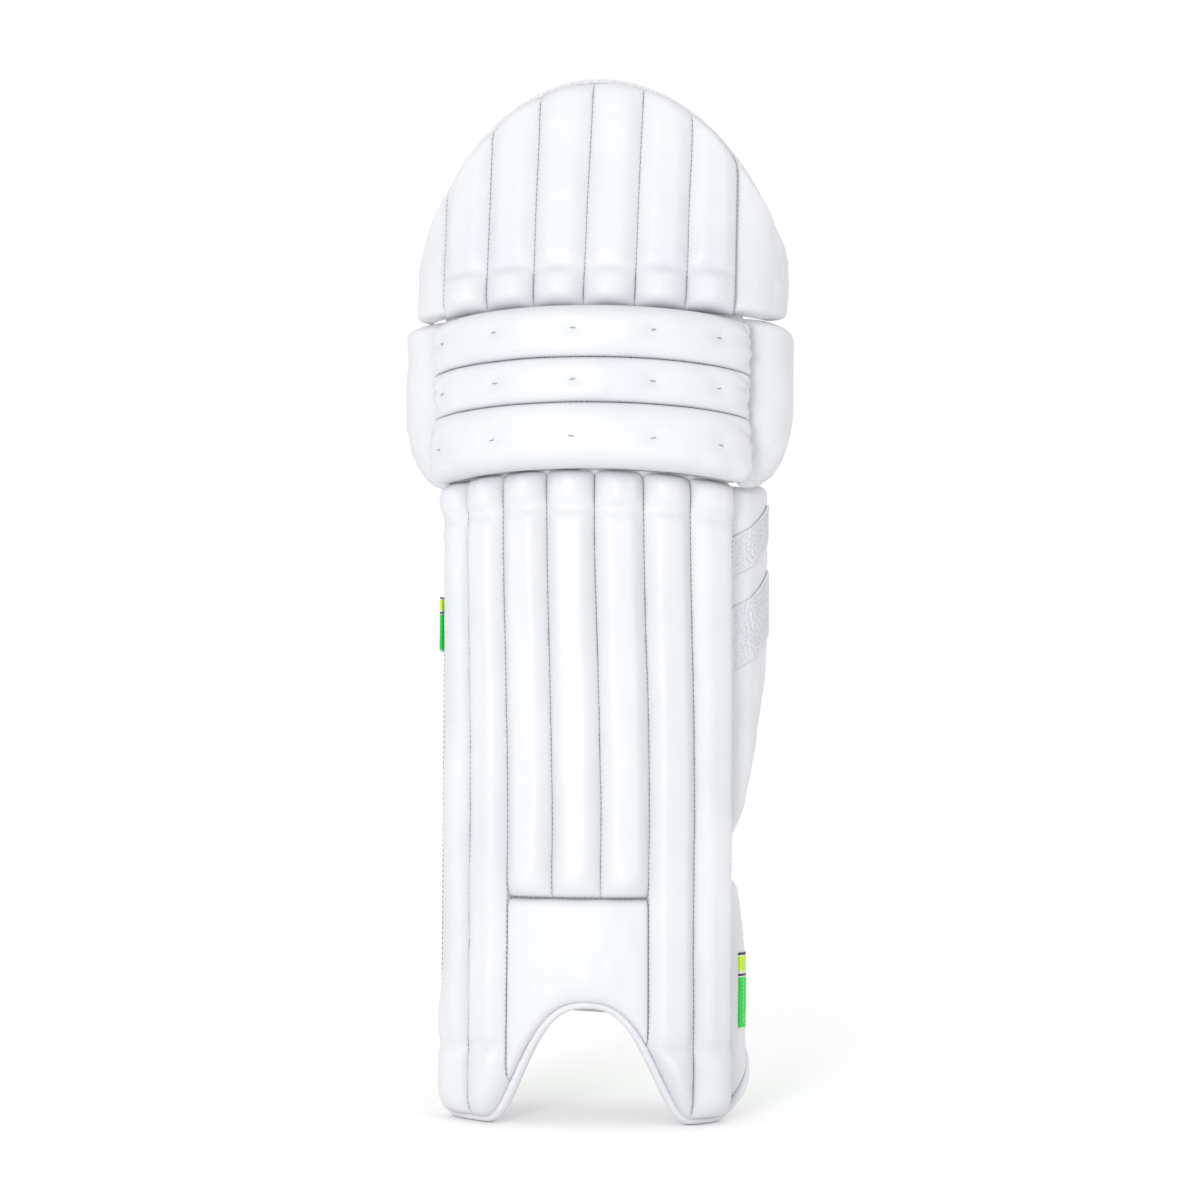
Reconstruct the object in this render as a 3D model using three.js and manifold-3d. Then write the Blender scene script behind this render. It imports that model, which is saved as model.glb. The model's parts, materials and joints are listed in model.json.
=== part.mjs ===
// A cricket batsman's leg guard: a shin section of padded cane channels, a knee section of three padded
// rolls between two ears, a top flap of shorter channels, side wings, inner bolsters and three straps.
// X runs across the pad towards its outer side, Y from its face to the wearer's leg, Z up. Millimetres.
import * as THREE from "three";
import { mergeVertices } from "three/addons/utils/BufferGeometryUtils.js";
import Module from "manifold-3d";

const wasm = await Module();
wasm.setup();

// ---------------------------------------------------------------- driving dimensions
const GAP = 0.35; // air left between pieces that touch
const SKIN = 1.6; // face leather
const LINING = 1.6; // inner lining cloth
const FOAM = 8; // backing foam behind the channels
const REACH = 400; // how far a cutting outline runs through the pad
const LEAN = 2.2; // degrees the whole pad leans back as it stands on its feet

const SHIN = { x: -4, y: 0, radius: 132, channels: 7, degrees: 15, bulge: 15, base: 0, top: 482 };
const KNEE = { x: 0, y: -8, radius: 155, half: 128, base: 485, top: 605 };
const BOW = 9; // how far the knee's rolls, and the shin's top, droop at their ends
const FLAP = { x: 0, y: -6, radius: 236, channels: 6, degrees: 9, bulge: 11, base: 4, lean: 8, pivot: 606 };

const INSTEP = { x: 7.5, rise: 87.5, half: 80, sharpness: 1.35 }; // the arch over the shoe
const HEEL_CORNER = { from: 110, softness: 45 }; // where the bottom edge lifts towards the back
const MIDDLE_CANES_END = 169; // the three middle channels stop here, above the instep panel
const BINDING = 3.4; // radius of the edge binding
const CROWN = { x: 6, half: 142, rise: 178, height: 178 }; // the top flap's elliptical outline

const WING = { base: 196, top: 470, length: 82, inside: 6, seam: 0.6, outside: 8 };
const SIDE = { inside: 9, outside: -1.5 }; // side flaps, as offsets from their plan curve
const EAR = { inside: 8, rim: 3, bulge: 10, length: 80 };

const ROLLS = [
  { name: "lower", base: 487, height: 46, depth: 35 },
  { name: "middle", base: 533.4, height: 33, depth: 31 },
  { name: "upper", base: 566.8, height: 38.2, depth: 33 },
];

const STRAP = 1.8; // webbing thickness
const PATCH = 1; // hook or loop tape thickness

// ---------------------------------------------------------------- materials
const material = (color, roughness) => new THREE.MeshStandardMaterial({ color, roughness, metalness: 0 });
const LEATHER = material(0xf3f4f6, 0.45);
const CLOTH = material(0xe4e5e8, 0.9);
const FOAM_WHITE = material(0xeceae4, 0.95);
const CANE = material(0xd9bd84, 0.6);
const WEBBING = material(0xf0f0f0, 0.8);
const TAPE = material(0xdcdde0, 0.95);
const TEXTURED = material(0xeeeff2, 0.6);

// ---------------------------------------------------------------- plan curves
// Arcs laid end to end from the pad's front centre, to the outer side (s > 0) and to the inner side (s < 0).
// The curve gives the point s mm along it and out mm proud of it.
function planCurve({ x, y }, outerArcs, innerArcs) {
  const walk = (arcs, distance) => {
    const p = { x: 0, y: 0, heading: 0 };
    for (const { radius, length } of arcs) {
      const run = Math.min(distance, length);
      const heading = p.heading + run / radius;
      p.x += radius * (Math.sin(heading) - Math.sin(p.heading));
      p.y += radius * (Math.cos(p.heading) - Math.cos(heading));
      p.heading = heading;
      distance -= run;
    }
    return p;
  };
  return (s, out = 0) => {
    const side = Math.sign(s) || 1;
    const p = walk(side > 0 ? outerArcs : innerArcs, Math.abs(s));
    return new THREE.Vector2(
      x + side * (p.x + out * Math.sin(p.heading)),
      y + p.y - out * Math.cos(p.heading),
    );
  };
}

const radians = THREE.MathUtils.degToRad;
const pitch = (section) => section.radius * radians(section.degrees);
const halfWidth = (section) => (pitch(section) * section.channels) / 2;
const SHIN_EDGE = halfWidth(SHIN);
const FLAP_EDGE = halfWidth(FLAP);

const shinArc = { radius: SHIN.radius, length: SHIN_EDGE };
const innerSideArcs = [shinArc, { radius: 20, length: 14.7 }, { radius: 200, length: 34 }];
const outerSideArcs = [shinArc, { radius: 34, length: 23.7 }, { radius: 300, length: 26 }];
const sideCurve = planCurve(SHIN, outerSideArcs, innerSideArcs);
const wingCurve = planCurve(SHIN, [shinArc, { radius: 86, length: WING.length }], innerSideArcs);
const SIDE_END = { inner: SHIN_EDGE + 48.7, outer: SHIN_EDGE + 49.7 };

const kneeArc = { radius: KNEE.radius, length: KNEE.half };
const earArcs = [kneeArc, { radius: 84, length: 50 }, { radius: 220, length: 40 }];
const kneeCurve = planCurve(KNEE, earArcs, earArcs);

const flapArc = { radius: FLAP.radius, length: FLAP_EDGE };
const FLAP_WING = { outer: 68, inner: 48 };
const flapCurve = planCurve(
  FLAP,
  [flapArc, { radius: 57, length: FLAP_WING.outer }],
  [flapArc, { radius: 45, length: FLAP_WING.inner }],
);

// ---------------------------------------------------------------- geometry helpers
const spread = (from, to, steps) => Array.from({ length: steps + 1 }, (_, i) => from + ((to - from) * i) / steps);

// The plan outline of a band that follows a curve from s0 to s1 between two offsets, numbers or functions of s.
function band(curve, s0, s1, inside, outside, steps) {
  const offset = (value, s) => (typeof value === "function" ? value(s) : value);
  const along = spread(s0, s1, steps);
  const front = along.map((s) => curve(s, offset(outside, s)));
  const back = along.map((s) => curve(s, offset(inside, s))).reverse();
  return new THREE.Shape([...front, ...back]);
}

// The outline of a ribbon of one thickness whose middle line passes through the given plan points.
function ribbon(points, thickness, steps) {
  const line = new THREE.SplineCurve(points);
  const offset = (side) => (t) => {
    const tangent = line.getTangent(t);
    return line.getPoint(t).add(new THREE.Vector2(tangent.y, -tangent.x).multiplyScalar((side * thickness) / 2));
  };
  const along = spread(0, 1, steps);
  return new THREE.Shape([...along.map(offset(1)), ...along.map(offset(-1)).reverse()]);
}

const upright = (shape, base, top) =>
  new THREE.ExtrudeGeometry(shape, { depth: top - base, bevelEnabled: false }).translate(0, 0, base);

const outline = (points) => new THREE.Shape(points.map(([a, b]) => new THREE.Vector2(a, b)));

// An outline drawn in the front view (x, z), run right through the pad along Y.
const throughFront = (shape) =>
  new THREE.ExtrudeGeometry(shape, { depth: REACH, bevelEnabled: false })
    .rotateX(Math.PI / 2)
    .translate(0, REACH / 2, 0);

// An outline drawn in the side view (y, z), run right through the pad along X.
const throughSide = (shape) => throughFront(shape).rotateZ(Math.PI / 2);

function solidOf(geometry) {
  const bare = geometry.clone();
  bare.deleteAttribute("normal");
  bare.deleteAttribute("uv");
  const merged = mergeVertices(bare, 1e-3);
  return new wasm.Manifold(
    new wasm.Mesh({
      numProp: 3,
      vertProperties: merged.attributes.position.array,
      triVerts: new Uint32Array(merged.index.array),
    }),
  );
}

function geometryOf(solid) {
  const mesh = solid.getMesh();
  return new THREE.BufferGeometry()
    .setAttribute("position", new THREE.BufferAttribute(new Float32Array(mesh.vertProperties), 3))
    .setIndex(new THREE.BufferAttribute(new Uint32Array(mesh.triVerts), 1));
}

const keep = (geometry, ...tools) =>
  geometryOf(tools.reduce((solid, tool) => solid.intersect(solidOf(tool)), solidOf(geometry)));
const cut = (geometry, ...tools) =>
  geometryOf(tools.reduce((solid, tool) => solid.subtract(solidOf(tool)), solidOf(geometry)));

function piece(parent, name, geometry, surface) {
  const mesh = new THREE.Mesh(geometry, surface);
  mesh.name = name;
  parent.add(mesh);
}

// How far a channel's leather stands off its backing, s mm from the section's centre.
const channelRise = (section) => (s) => {
  const across = (s + halfWidth(section)) / pitch(section);
  return section.bulge * Math.abs(Math.sin(Math.PI * across)) ** 0.7;
};

// ---------------------------------------------------------------- the bottom edge
// Height of the pad's bottom edge s mm from the shin's centre: the instep arch, the flat feet, the lifted corners.
function bottomEdge(s) {
  const fromArch = Math.abs(s - INSTEP.x) / INSTEP.half;
  const arch = fromArch < 1 ? 0.5 * (1 + Math.cos(Math.PI * fromArch ** INSTEP.sharpness)) : 0;
  const corner = Math.max(0, Math.abs(s) - HEEL_CORNER.from) ** 2 / HEEL_CORNER.softness;
  return INSTEP.rise * arch + corner;
}

// The same edge moved inwards by an offset square to itself, as [s, z].
function insideEdge(s, offset) {
  const slope = (bottomEdge(s + 0.5) - bottomEdge(s - 0.5)) / 1;
  const length = Math.hypot(1, slope);
  return [s - (offset * slope) / length, bottomEdge(s) + offset / length];
}

const EDGE_CLEAR = 2 * BINDING + 5 * GAP; // the panels end this far inside the pad's edge
const BINDING_OFFSET = -FOAM / 2 - 1; // the binding's middle, behind the plan curve
const footLine = (from, to, steps) => spread(from, to, steps).map((s) => insideEdge(s, EDGE_CLEAR));

// Everything above the bottom edge, in the front view of the shin.
const shinFoot = footLine(-SHIN_EDGE, SHIN_EDGE, 44);
const shinFootEnd = shinFoot[44][1];
const aboveFoot = throughFront(
  outline([
    ...shinFoot.map(([s, z]) => [sideCurve(s, BINDING_OFFSET).x, z]),
    [REACH / 2, shinFootEnd],
    ...spread(1.1, -1.1, 22).map((share) => [110 * share, SHIN.top - BOW * share ** 2]),
    [-REACH / 2, shinFootEnd],
  ]),
);

// ---------------------------------------------------------------- shin section
const shin = new THREE.Group();
const rise = channelRise(SHIN);
const MIDDLE = 1.5 * pitch(SHIN); // half the width of the three middle channels

const belowMiddleCanes = upright(band(sideCurve, -MIDDLE, MIDDLE, -GAP, 60, 12), -10, MIDDLE_CANES_END);

const shinBand = (inside, outside, steps, base = SHIN.base) =>
  upright(band(sideCurve, -SHIN_EDGE + GAP, SHIN_EDGE - GAP, inside, outside, steps), base, SHIN.top);

piece(
  shin,
  "shin_face_cover",
  cut(keep(shinBand(rise, (s) => rise(s) + SKIN, 56), aboveFoot), belowMiddleCanes),
  LEATHER,
);
piece(shin, "shin_foam_backing", keep(shinBand(-FOAM, -GAP, 20), aboveFoot), FOAM_WHITE);
piece(shin, "shin_lining", keep(shinBand(-FOAM - GAP - LINING, -FOAM - GAP, 20), aboveFoot), CLOTH);

// A cane lies along the middle of its channel, on the backing.
function cane(curve, section, index, base, top) {
  const middle = (index + 0.5) * pitch(section) - halfWidth(section);
  const half = 10;
  const chamfer = 2.5;
  const thick = section.bulge * 0.62;
  const lift = GAP;
  const corners = [
    [-half, lift + chamfer],
    [-half + chamfer, lift],
    [half - chamfer, lift],
    [half, lift + chamfer],
    [half, thick - chamfer],
    [half - chamfer, thick],
    [-half + chamfer, thick],
    [-half, thick - chamfer],
  ];
  const across = curve(middle + 1).sub(curve(middle - 1)).normalize();
  const outward = new THREE.Vector2(across.y, -across.x);
  const centre = curve(middle);
  const section2d = corners.map(([a, b]) => centre.clone().addScaledVector(across, a).addScaledVector(outward, b));
  return upright(new THREE.Shape(section2d), base, top);
}

for (let i = 0; i < SHIN.channels; i++) {
  const middle = (i + 0.5) * pitch(SHIN) - SHIN_EDGE;
  const isShort = Math.abs(middle) < MIDDLE;
  const base = isShort ? MIDDLE_CANES_END + 6 : Math.max(bottomEdge(middle - 8), bottomEdge(middle + 8)) + 20;
  piece(shin, `shin_cane_${i + 1}`, cane(sideCurve, SHIN, i, base, SHIN.top - BOW - 6), CANE);
}

// The instep panel covers the shin under the three middle canes, down to the arch.
const panelFace = (s) => 2 + 5 * (1 - (s / MIDDLE) ** 6);
piece(
  shin,
  "instep_panel",
  keep(
    upright(band(sideCurve, -MIDDLE + GAP, MIDDLE - GAP, 0, panelFace, 18), SHIN.base, MIDDLE_CANES_END - GAP),
    aboveFoot,
  ),
  LEATHER,
);

// Side flaps carry the shin section round the sides of the leg.
const FLAP_FRONT = 0.6;
const sideFlap = (side, end, top, rearTop) =>
  keep(
    upright(
      band(sideCurve, side * (SHIN_EDGE + FLAP_FRONT), side * end, -SIDE.inside, SIDE.outside, 14),
      SHIN.base,
      top,
    ),
    throughSide(
      outline([
        ...footLine(SHIN_EDGE, end, 10).map(([s, z]) => [sideCurve(side * s).y, z]),
        [sideCurve(side * end).y + 1, rearTop],
        [sideCurve(side * end).y - 22, top],
        [0, top],
        [0, 0],
      ]),
    ),
  );
piece(shin, "inner_side_flap", sideFlap(-1, SIDE_END.inner - EDGE_CLEAR, SHIN.top - BOW - 6, SHIN.top - 60), LEATHER);
piece(shin, "outer_side_flap", sideFlap(1, SIDE_END.outer - EDGE_CLEAR, WING.base - 14, WING.base - 40), LEATHER);

// The binding runs down the back of the outer flap, round the bottom edge and arch, and up the inner flap.
const BINDING_TOP = 148;
const bindingLine = (s, z) => {
  const p = sideCurve(s, BINDING_OFFSET);
  return new THREE.Vector3(p.x, p.y, z);
};
const cornerS = 158;
const bindingPath = new THREE.CatmullRomCurve3(
  [
    ...spread(BINDING_TOP, 70, 3).map((z) => bindingLine(-SIDE_END.inner + BINDING, z)),
    ...spread(-cornerS, cornerS, 58).map((s) => bindingLine(...insideEdge(s, BINDING))),
    ...spread(70, BINDING_TOP, 3).map((z) => bindingLine(SIDE_END.outer - BINDING, z)),
  ],
  false,
  "centripetal",
);
const bindingSection = outline(
  spread(0, 7 / 8, 7).map((turn) => [
    BINDING * Math.cos(2 * Math.PI * turn),
    BINDING * Math.sin(2 * Math.PI * turn),
  ]),
);
const ground = (y) => y * Math.tan(radians(LEAN)) - 0.45; // the floor, seen from the leaning pad
const floorBlock = throughSide(
  outline([
    [-REACH / 2, -30],
    [REACH / 2, -30],
    [REACH / 2, ground(REACH / 2)],
    [-REACH / 2, ground(-REACH / 2)],
  ]),
);
piece(
  shin,
  "bottom_binding",
  cut(
    new THREE.ExtrudeGeometry(bindingSection, { steps: 96, bevelEnabled: false, extrudePath: bindingPath }),
    floorBlock,
  ),
  LEATHER,
);

// Vertical bolsters inside the shin keep the canes off the leg; a pad lies over the instep.
const insideLining = -FOAM - 2 * GAP - LINING;
const bolster = (curve, s0, s1, depth, base, top) => {
  const cushion = (s) => insideLining - depth * Math.sin((Math.PI * (s - s0)) / (s1 - s0)) ** 0.5 - 3;
  return upright(band(curve, s0, s1, cushion, insideLining, 8), base, top);
};
piece(shin, "shin_bolster_inner", bolster(sideCurve, -104, -50, 15, 190, 466), CLOTH);
piece(shin, "shin_bolster_outer", bolster(sideCurve, 50, 104, 15, 190, 466), CLOTH);
piece(shin, "instep_pad", bolster(sideCurve, -40, 44, 7, 112, 176), CLOTH);

// ---------------------------------------------------------------- outer wing
const wing = new THREE.Group();
const wingEnd = SHIN_EDGE + WING.length;

// Length of the wing behind the shin's edge at a share of its height, from its foot to its top.
const WING_EDGE = [
  [0, 0.0],
  [20, 0.13],
  [33, 0.28],
  [47, 0.42],
  [64, 0.58],
  [77, 0.75],
  [82, 0.9],
  [74, 0.975],
  [60, 1],
];
const wingHeight = (share) => WING.base + (WING.top - WING.base) * share;
const wingOutline = throughSide(
  outline([
    [0, wingHeight(0)],
    ...WING_EDGE.map(([length, share]) => [wingCurve(SHIN_EDGE + length).y, wingHeight(share)]),
    [0, WING.top],
  ]),
);
const wingBand = (inside, outside) =>
  keep(
    upright(band(wingCurve, SHIN_EDGE + FLAP_FRONT, wingEnd, inside, outside, 16), WING.base, WING.top),
    wingOutline,
  );
// The wing's padding swells away from its seam, which leaves it room to turn outwards.
const wingFace = (lift) => (s) => {
  const swell = THREE.MathUtils.smoothstep(s, SHIN_EDGE, SHIN_EDGE + 22);
  return WING.seam + (WING.outside - WING.seam) * swell + lift;
};
piece(wing, "outer_wing_cover", wingBand(wingFace(-SKIN), wingFace(0)), LEATHER);
piece(wing, "outer_wing_foam", wingBand(-WING.inside + LINING + GAP, wingFace(-SKIN - GAP)), FOAM_WHITE);
piece(wing, "outer_wing_lining", wingBand(-WING.inside, -WING.inside + LINING), CLOTH);

// Two textured panels are sewn slantwise across the wing's face, rising towards the back.
const slantPanel = (base, height, frontLength) => {
  const front = SHIN_EDGE + 3;
  const back = SHIN_EDGE + frontLength;
  const slope = 0.62;
  const y0 = wingCurve(front).y;
  const y1 = wingCurve(back).y;
  return keep(
    upright(
      band(wingCurve, front, back, wingFace(GAP), wingFace(GAP + 1.1), 16),
      WING.base,
      WING.top,
    ),
    throughSide(
      outline([
        [y0, base],
        [y1, base + slope * (y1 - y0)],
        [y1, base + height + slope * (y1 - y0)],
        [y0, base + height],
      ]),
    ),
  );
};
piece(wing, "wing_grip_panel_upper", slantPanel(408, 30, 74), TEXTURED);
piece(wing, "wing_grip_panel_lower", slantPanel(337, 48, 57), TEXTURED);

// ---------------------------------------------------------------- knee section
const knee = new THREE.Group();
const kneeBand = (inside, outside) =>
  upright(band(kneeCurve, -KNEE.half, KNEE.half, inside, outside, 20), KNEE.base, KNEE.top);
piece(knee, "knee_foam_backing", kneeBand(-FOAM, -GAP), FOAM_WHITE);
piece(knee, "knee_lining", kneeBand(-FOAM - GAP - LINING, -FOAM - GAP), CLOTH);

// A roll's half-round section: x runs down and y runs back when it is swept along the knee.
function rollSection(height, depth, inset) {
  const half = height / 2 - inset;
  return outline(
    spread(0, 1, 10).map((t) => [
      half * Math.cos(Math.PI * t),
      -GAP - inset - (depth - 2 * inset) * Math.sin(Math.PI * t) ** 0.8,
    ]),
  );
}
class KneeLine extends THREE.Curve {
  constructor(half, z) {
    super();
    this.half = half;
    this.z = z;
  }
  getPoint(t, target = new THREE.Vector3()) {
    const s = this.half * (2 * t - 1);
    const p = kneeCurve(s);
    return target.set(p.x, p.y, this.z - BOW * (s / KNEE.half) ** 2);
  }
}
// The rolls thin to nothing at the seams where the ears begin.
const rollTaper = (s) => Math.sqrt(Math.max(0, 1 - (s / (KNEE.half + 1)) ** 4));
const kneeSlice = (half) =>
  solidOf(upright(band(kneeCurve, -half, half, -5, 60, 16), KNEE.base - 40, KNEE.top + 40));
for (const { name, base, height, depth } of ROLLS) {
  const path = new KneeLine(KNEE.half + 4, base + height / 2);
  const sweep = (inset) => {
    const section = rollSection(height, depth, inset);
    const face = (s) => Math.max(2 * SKIN, depth * rollTaper(s)) + 1 - inset;
    const front = band(kneeCurve, -KNEE.half - 2, KNEE.half + 2, 0, face, 36);
    return solidOf(
      new THREE.ExtrudeGeometry(section, { steps: 16, bevelEnabled: false, extrudePath: path }),
    ).intersect(solidOf(upright(front, KNEE.base - 40, KNEE.top + 40)));
  };
  const shell = sweep(0).subtract(sweep(SKIN)).intersect(kneeSlice(KNEE.half));
  piece(knee, `knee_roll_${name}_cover`, geometryOf(shell), LEATHER);
  const core = sweep(SKIN + GAP).intersect(kneeSlice(KNEE.half - 2));
  piece(knee, `knee_roll_${name}_core`, geometryOf(core), FOAM_WHITE);
}

// The ears close round the sides of the knee; their edges lift towards the back so that the knee can bend.
const earBase = (y) => KNEE.base - BOW + 0.0085 * Math.max(0, y - 42) ** 2;
const earTop = (y) => KNEE.top - BOW + 3 - 0.0045 * Math.max(0, y - 42) ** 2;
const earOutline = throughSide(
  outline([
    ...spread(20, 128, 10).map((y) => [y, earBase(y)]),
    ...spread(128, 20, 10).map((y) => [y, earTop(y)]),
  ]),
);
const earStart = KNEE.half + GAP;
const earEnd = KNEE.half + EAR.length;
const earFace = (s) => {
  const across = THREE.MathUtils.clamp((Math.abs(s) - earStart) / (earEnd - earStart), 0, 1);
  return EAR.rim + EAR.bulge * Math.sin(Math.PI * across) ** 0.7;
};
const ear = (side) =>
  keep(
    upright(band(kneeCurve, side * earStart, side * earEnd, -EAR.inside, earFace, 14), KNEE.base - 20, KNEE.top),
    earOutline,
  );
piece(knee, "knee_ear_inner", ear(-1), LEATHER);
piece(knee, "knee_ear_outer", ear(1), LEATHER);
piece(knee, "knee_cradle_inner", bolster(kneeCurve, -112, -52, 17, 496, 594), CLOTH);
piece(knee, "knee_cradle_outer", bolster(kneeCurve, 52, 112, 17, 496, 594), CLOTH);

// ---------------------------------------------------------------- top flap
const topFlap = new THREE.Group();
topFlap.position.z = FLAP.pivot;
topFlap.rotation.x = radians(-FLAP.lean);

// Everything under the flap's crown, inset from it.
const crownPoint = (angle, inset) => [
  CROWN.x - (CROWN.half - inset) * Math.cos(angle),
  CROWN.height - CROWN.rise + (CROWN.rise - inset) * Math.sin(angle),
];
const underCrown = (inset) =>
  throughFront(
    outline([
      [-REACH / 2, -20],
      ...spread(0.02, Math.PI - 0.02, 26).map((angle) => crownPoint(angle, inset)),
      [REACH / 2, -20],
    ]),
  );
const flapRise = channelRise(FLAP);
const flapBand = (inside, outside, steps) =>
  keep(
    upright(
      band(flapCurve, -FLAP_EDGE + GAP, FLAP_EDGE - GAP, inside, outside, steps),
      FLAP.base,
      CROWN.height,
    ),
    underCrown(EDGE_CLEAR),
  );
piece(topFlap, "top_flap_face_cover", flapBand(flapRise, (s) => flapRise(s) + SKIN, 48), LEATHER);
piece(topFlap, "top_flap_foam_backing", flapBand(-FOAM, -GAP, 12), FOAM_WHITE);
piece(topFlap, "top_flap_lining", flapBand(-FOAM - GAP - LINING, -FOAM - GAP, 12), CLOTH);

for (let i = 0; i < FLAP.channels; i++) {
  const middle = (i + 0.5) * pitch(FLAP) - FLAP_EDGE;
  const outer = Math.abs(flapCurve(middle).x - CROWN.x) + 12;
  const top = CROWN.height - CROWN.rise * (1 - Math.sqrt(1 - (outer / CROWN.half) ** 2)) - 16;
  piece(topFlap, `top_flap_cane_${i + 1}`, cane(flapCurve, FLAP, i, FLAP.base + 4, top), CANE);
}

// Wings turn back from the flap's sides; their lower edges lift clear of the knee's ears.
const flapWing = (side, length) => {
  const start = FLAP_EDGE + FLAP_FRONT;
  const lift = (y) => 5 + 0.0045 * Math.max(0, y - 22) ** 2;
  return keep(
    upright(band(flapCurve, side * start, side * (FLAP_EDGE + length), -6, 6, 12), FLAP.base, CROWN.height),
    underCrown(0),
    throughSide(
      outline([
        [0, lift(0)],
        ...spread(22, 130, 8).map((y) => [y, lift(y)]),
        [130, 100],
        [60, REACH],
        [0, REACH],
      ]),
    ),
  );
};
piece(topFlap, "top_flap_wing_inner", flapWing(-1, FLAP_WING.inner), LEATHER);
piece(topFlap, "top_flap_wing_outer", flapWing(1, FLAP_WING.outer), LEATHER);

// A binding is sewn over the crown, from one wing to the other.
const crownAngle = (x) => Math.acos((CROWN.x - x) / CROWN.half);
const crownEnd = flapCurve(FLAP_EDGE).x - 4;
const crownPath = new THREE.CatmullRomCurve3(
  spread(crownAngle(-crownEnd), crownAngle(crownEnd), 20).map((angle) => {
    const [x, z] = crownPoint(angle, BINDING);
    const s = FLAP.radius * Math.asin(x / (FLAP.radius + BINDING_OFFSET));
    const p = flapCurve(s, BINDING_OFFSET);
    return new THREE.Vector3(p.x, p.y, z);
  }),
);
piece(
  topFlap,
  "top_flap_binding",
  new THREE.ExtrudeGeometry(bindingSection, { steps: 36, bevelEnabled: false, extrudePath: crownPath }),
  LEATHER,
);

// ---------------------------------------------------------------- straps
// A strap is sewn to the outer side by an anchor, passes behind the leg, and its tab fastens with hook tape on a
// loop patch on the inner side. height tapers from the anchor to the tab.
const ankleStrap = new THREE.Group();
const ankleTab = new THREE.Group();
const calfStrap = new THREE.Group();
const calfTab = new THREE.Group();
const kneeStrap = new THREE.Group();
const kneeTab = new THREE.Group();

const STACK = { loop: GAP, tab: 3 * GAP + PATCH }; // offsets above the flap's face
const tapered = (z, wide, narrow) =>
  throughFront(
    outline([
      [-REACH / 2, z - narrow / 2],
      [-100, z - narrow / 2],
      [100, z - wide / 2],
      [REACH / 2, z - wide / 2],
      [REACH / 2, z + wide / 2],
      [100, z + wide / 2],
      [-100, z + narrow / 2],
      [-REACH / 2, z + narrow / 2],
    ]),
  );

function strap({ name, parent, body, tab, curve, z, wide, narrow, face, anchor, innerFace, back }) {
  const half = wide / 2;
  const proud = (lift) => (s) => innerFace.face(s) + lift;
  const fasten = (end, lift, thickness, margin) =>
    upright(
      band(curve, -end, -innerFace.start, proud(lift), proud(lift + thickness), 8),
      z - narrow / 2 + margin,
      z + narrow / 2 - margin,
    );
  piece(
    parent,
    `${name}_strap_anchor`,
    upright(band(curve, anchor[0], anchor[1], face, face + STRAP, 8), z - half, z + half),
    WEBBING,
  );
  piece(shinOrKnee(parent), `${name}_loop_patch`, fasten(innerFace.patchEnd, STACK.loop, PATCH, -3), TAPE);
  const start = beyond(curve, anchor[1], face + STRAP / 2);
  const end = beyond(curve, -innerFace.end, proud(STACK.tab + STRAP / 2)(-innerFace.end));
  const line = [start(0.8), start(6), ...back, end(6), end(0.8)];
  piece(
    body,
    `${name}_strap`,
    keep(upright(ribbon(line, STRAP, 30), z - half, z + half), tapered(z, wide, narrow)),
    WEBBING,
  );
  piece(tab, `${name}_strap_tab`, fasten(innerFace.end, STACK.tab, STRAP, 0), WEBBING);
}
// The point some way past s, straight on along the curve.
const beyond = (curve, s, out) => (distance) =>
  curve(s, out).add(
    curve(s, out)
      .sub(curve(s - Math.sign(s), out))
      .setLength(distance),
  );
const shinOrKnee = (parent) => (parent === wing ? shin : parent);
const plan = (points) => points.map(([x, y]) => new THREE.Vector2(x, y));

const flapFace = {
  face: () => SIDE.outside,
  start: SHIN_EDGE + 15,
  patchEnd: SIDE_END.inner - EDGE_CLEAR,
  end: SIDE_END.inner,
};
strap({
  name: "ankle",
  parent: shin,
  body: ankleStrap,
  tab: ankleTab,
  curve: sideCurve,
  z: 97,
  wide: 58,
  narrow: 40,
  face: SIDE.outside + GAP,
  anchor: [SHIN_EDGE + 14, SIDE_END.outer],
  innerFace: flapFace,
  back: plan([
    [82, 126],
    [45, 136],
    [0, 138],
    [-45, 136],
    [-88, 124],
  ]),
});
strap({
  name: "calf",
  parent: wing,
  body: calfStrap,
  tab: calfTab,
  curve: wingCurve,
  z: 373,
  wide: 52,
  narrow: 42,
  face: -WING.inside - 4 * GAP - STRAP,
  anchor: [SHIN_EDGE + 44, SHIN_EDGE + 78],
  innerFace: flapFace,
  back: plan([
    [80, 143],
    [42, 150],
    [0, 150],
    [-45, 144],
    [-90, 126],
  ]),
});
strap({
  name: "knee",
  parent: knee,
  body: kneeStrap,
  tab: kneeTab,
  curve: kneeCurve,
  z: 545,
  wide: 56,
  narrow: 44,
  face: -EAR.inside - GAP - STRAP,
  anchor: [KNEE.half + 44, KNEE.half + EAR.length + 4],
  innerFace: { face: earFace, start: KNEE.half + 44, patchEnd: KNEE.half + EAR.length - 2, end: KNEE.half + EAR.length },
  back: plan([
    [92, 150],
    [48, 158],
    [0, 160],
    [-48, 158],
    [-100, 150],
  ]),
});

// ---------------------------------------------------------------- assembly
const pad = new THREE.Group();
pad.add(shin, wing, knee, topFlap, ankleStrap, ankleTab, calfStrap, calfTab, kneeStrap, kneeTab);

// The pad leans back a little and stands on the origin, at the middle of its own box.
pad.rotation.x = radians(-LEAN);
const box = new THREE.Box3().setFromObject(pad, true);
const middle = box.getCenter(new THREE.Vector3());
pad.position.set(-middle.x, -middle.y, -box.min.z);

const part = new THREE.Group();
part.add(pad);
export default part;
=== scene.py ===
"""A cricket batsman's leg guard in white leather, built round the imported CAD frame.

Shapes are written in the pad's own millimetres: x across, y from the face to the leg, z up, and s along a
plan curve from the middle of the section. pad_frame and flap_frame turn them into the row frame in metres.
"""

import json
import math

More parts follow.
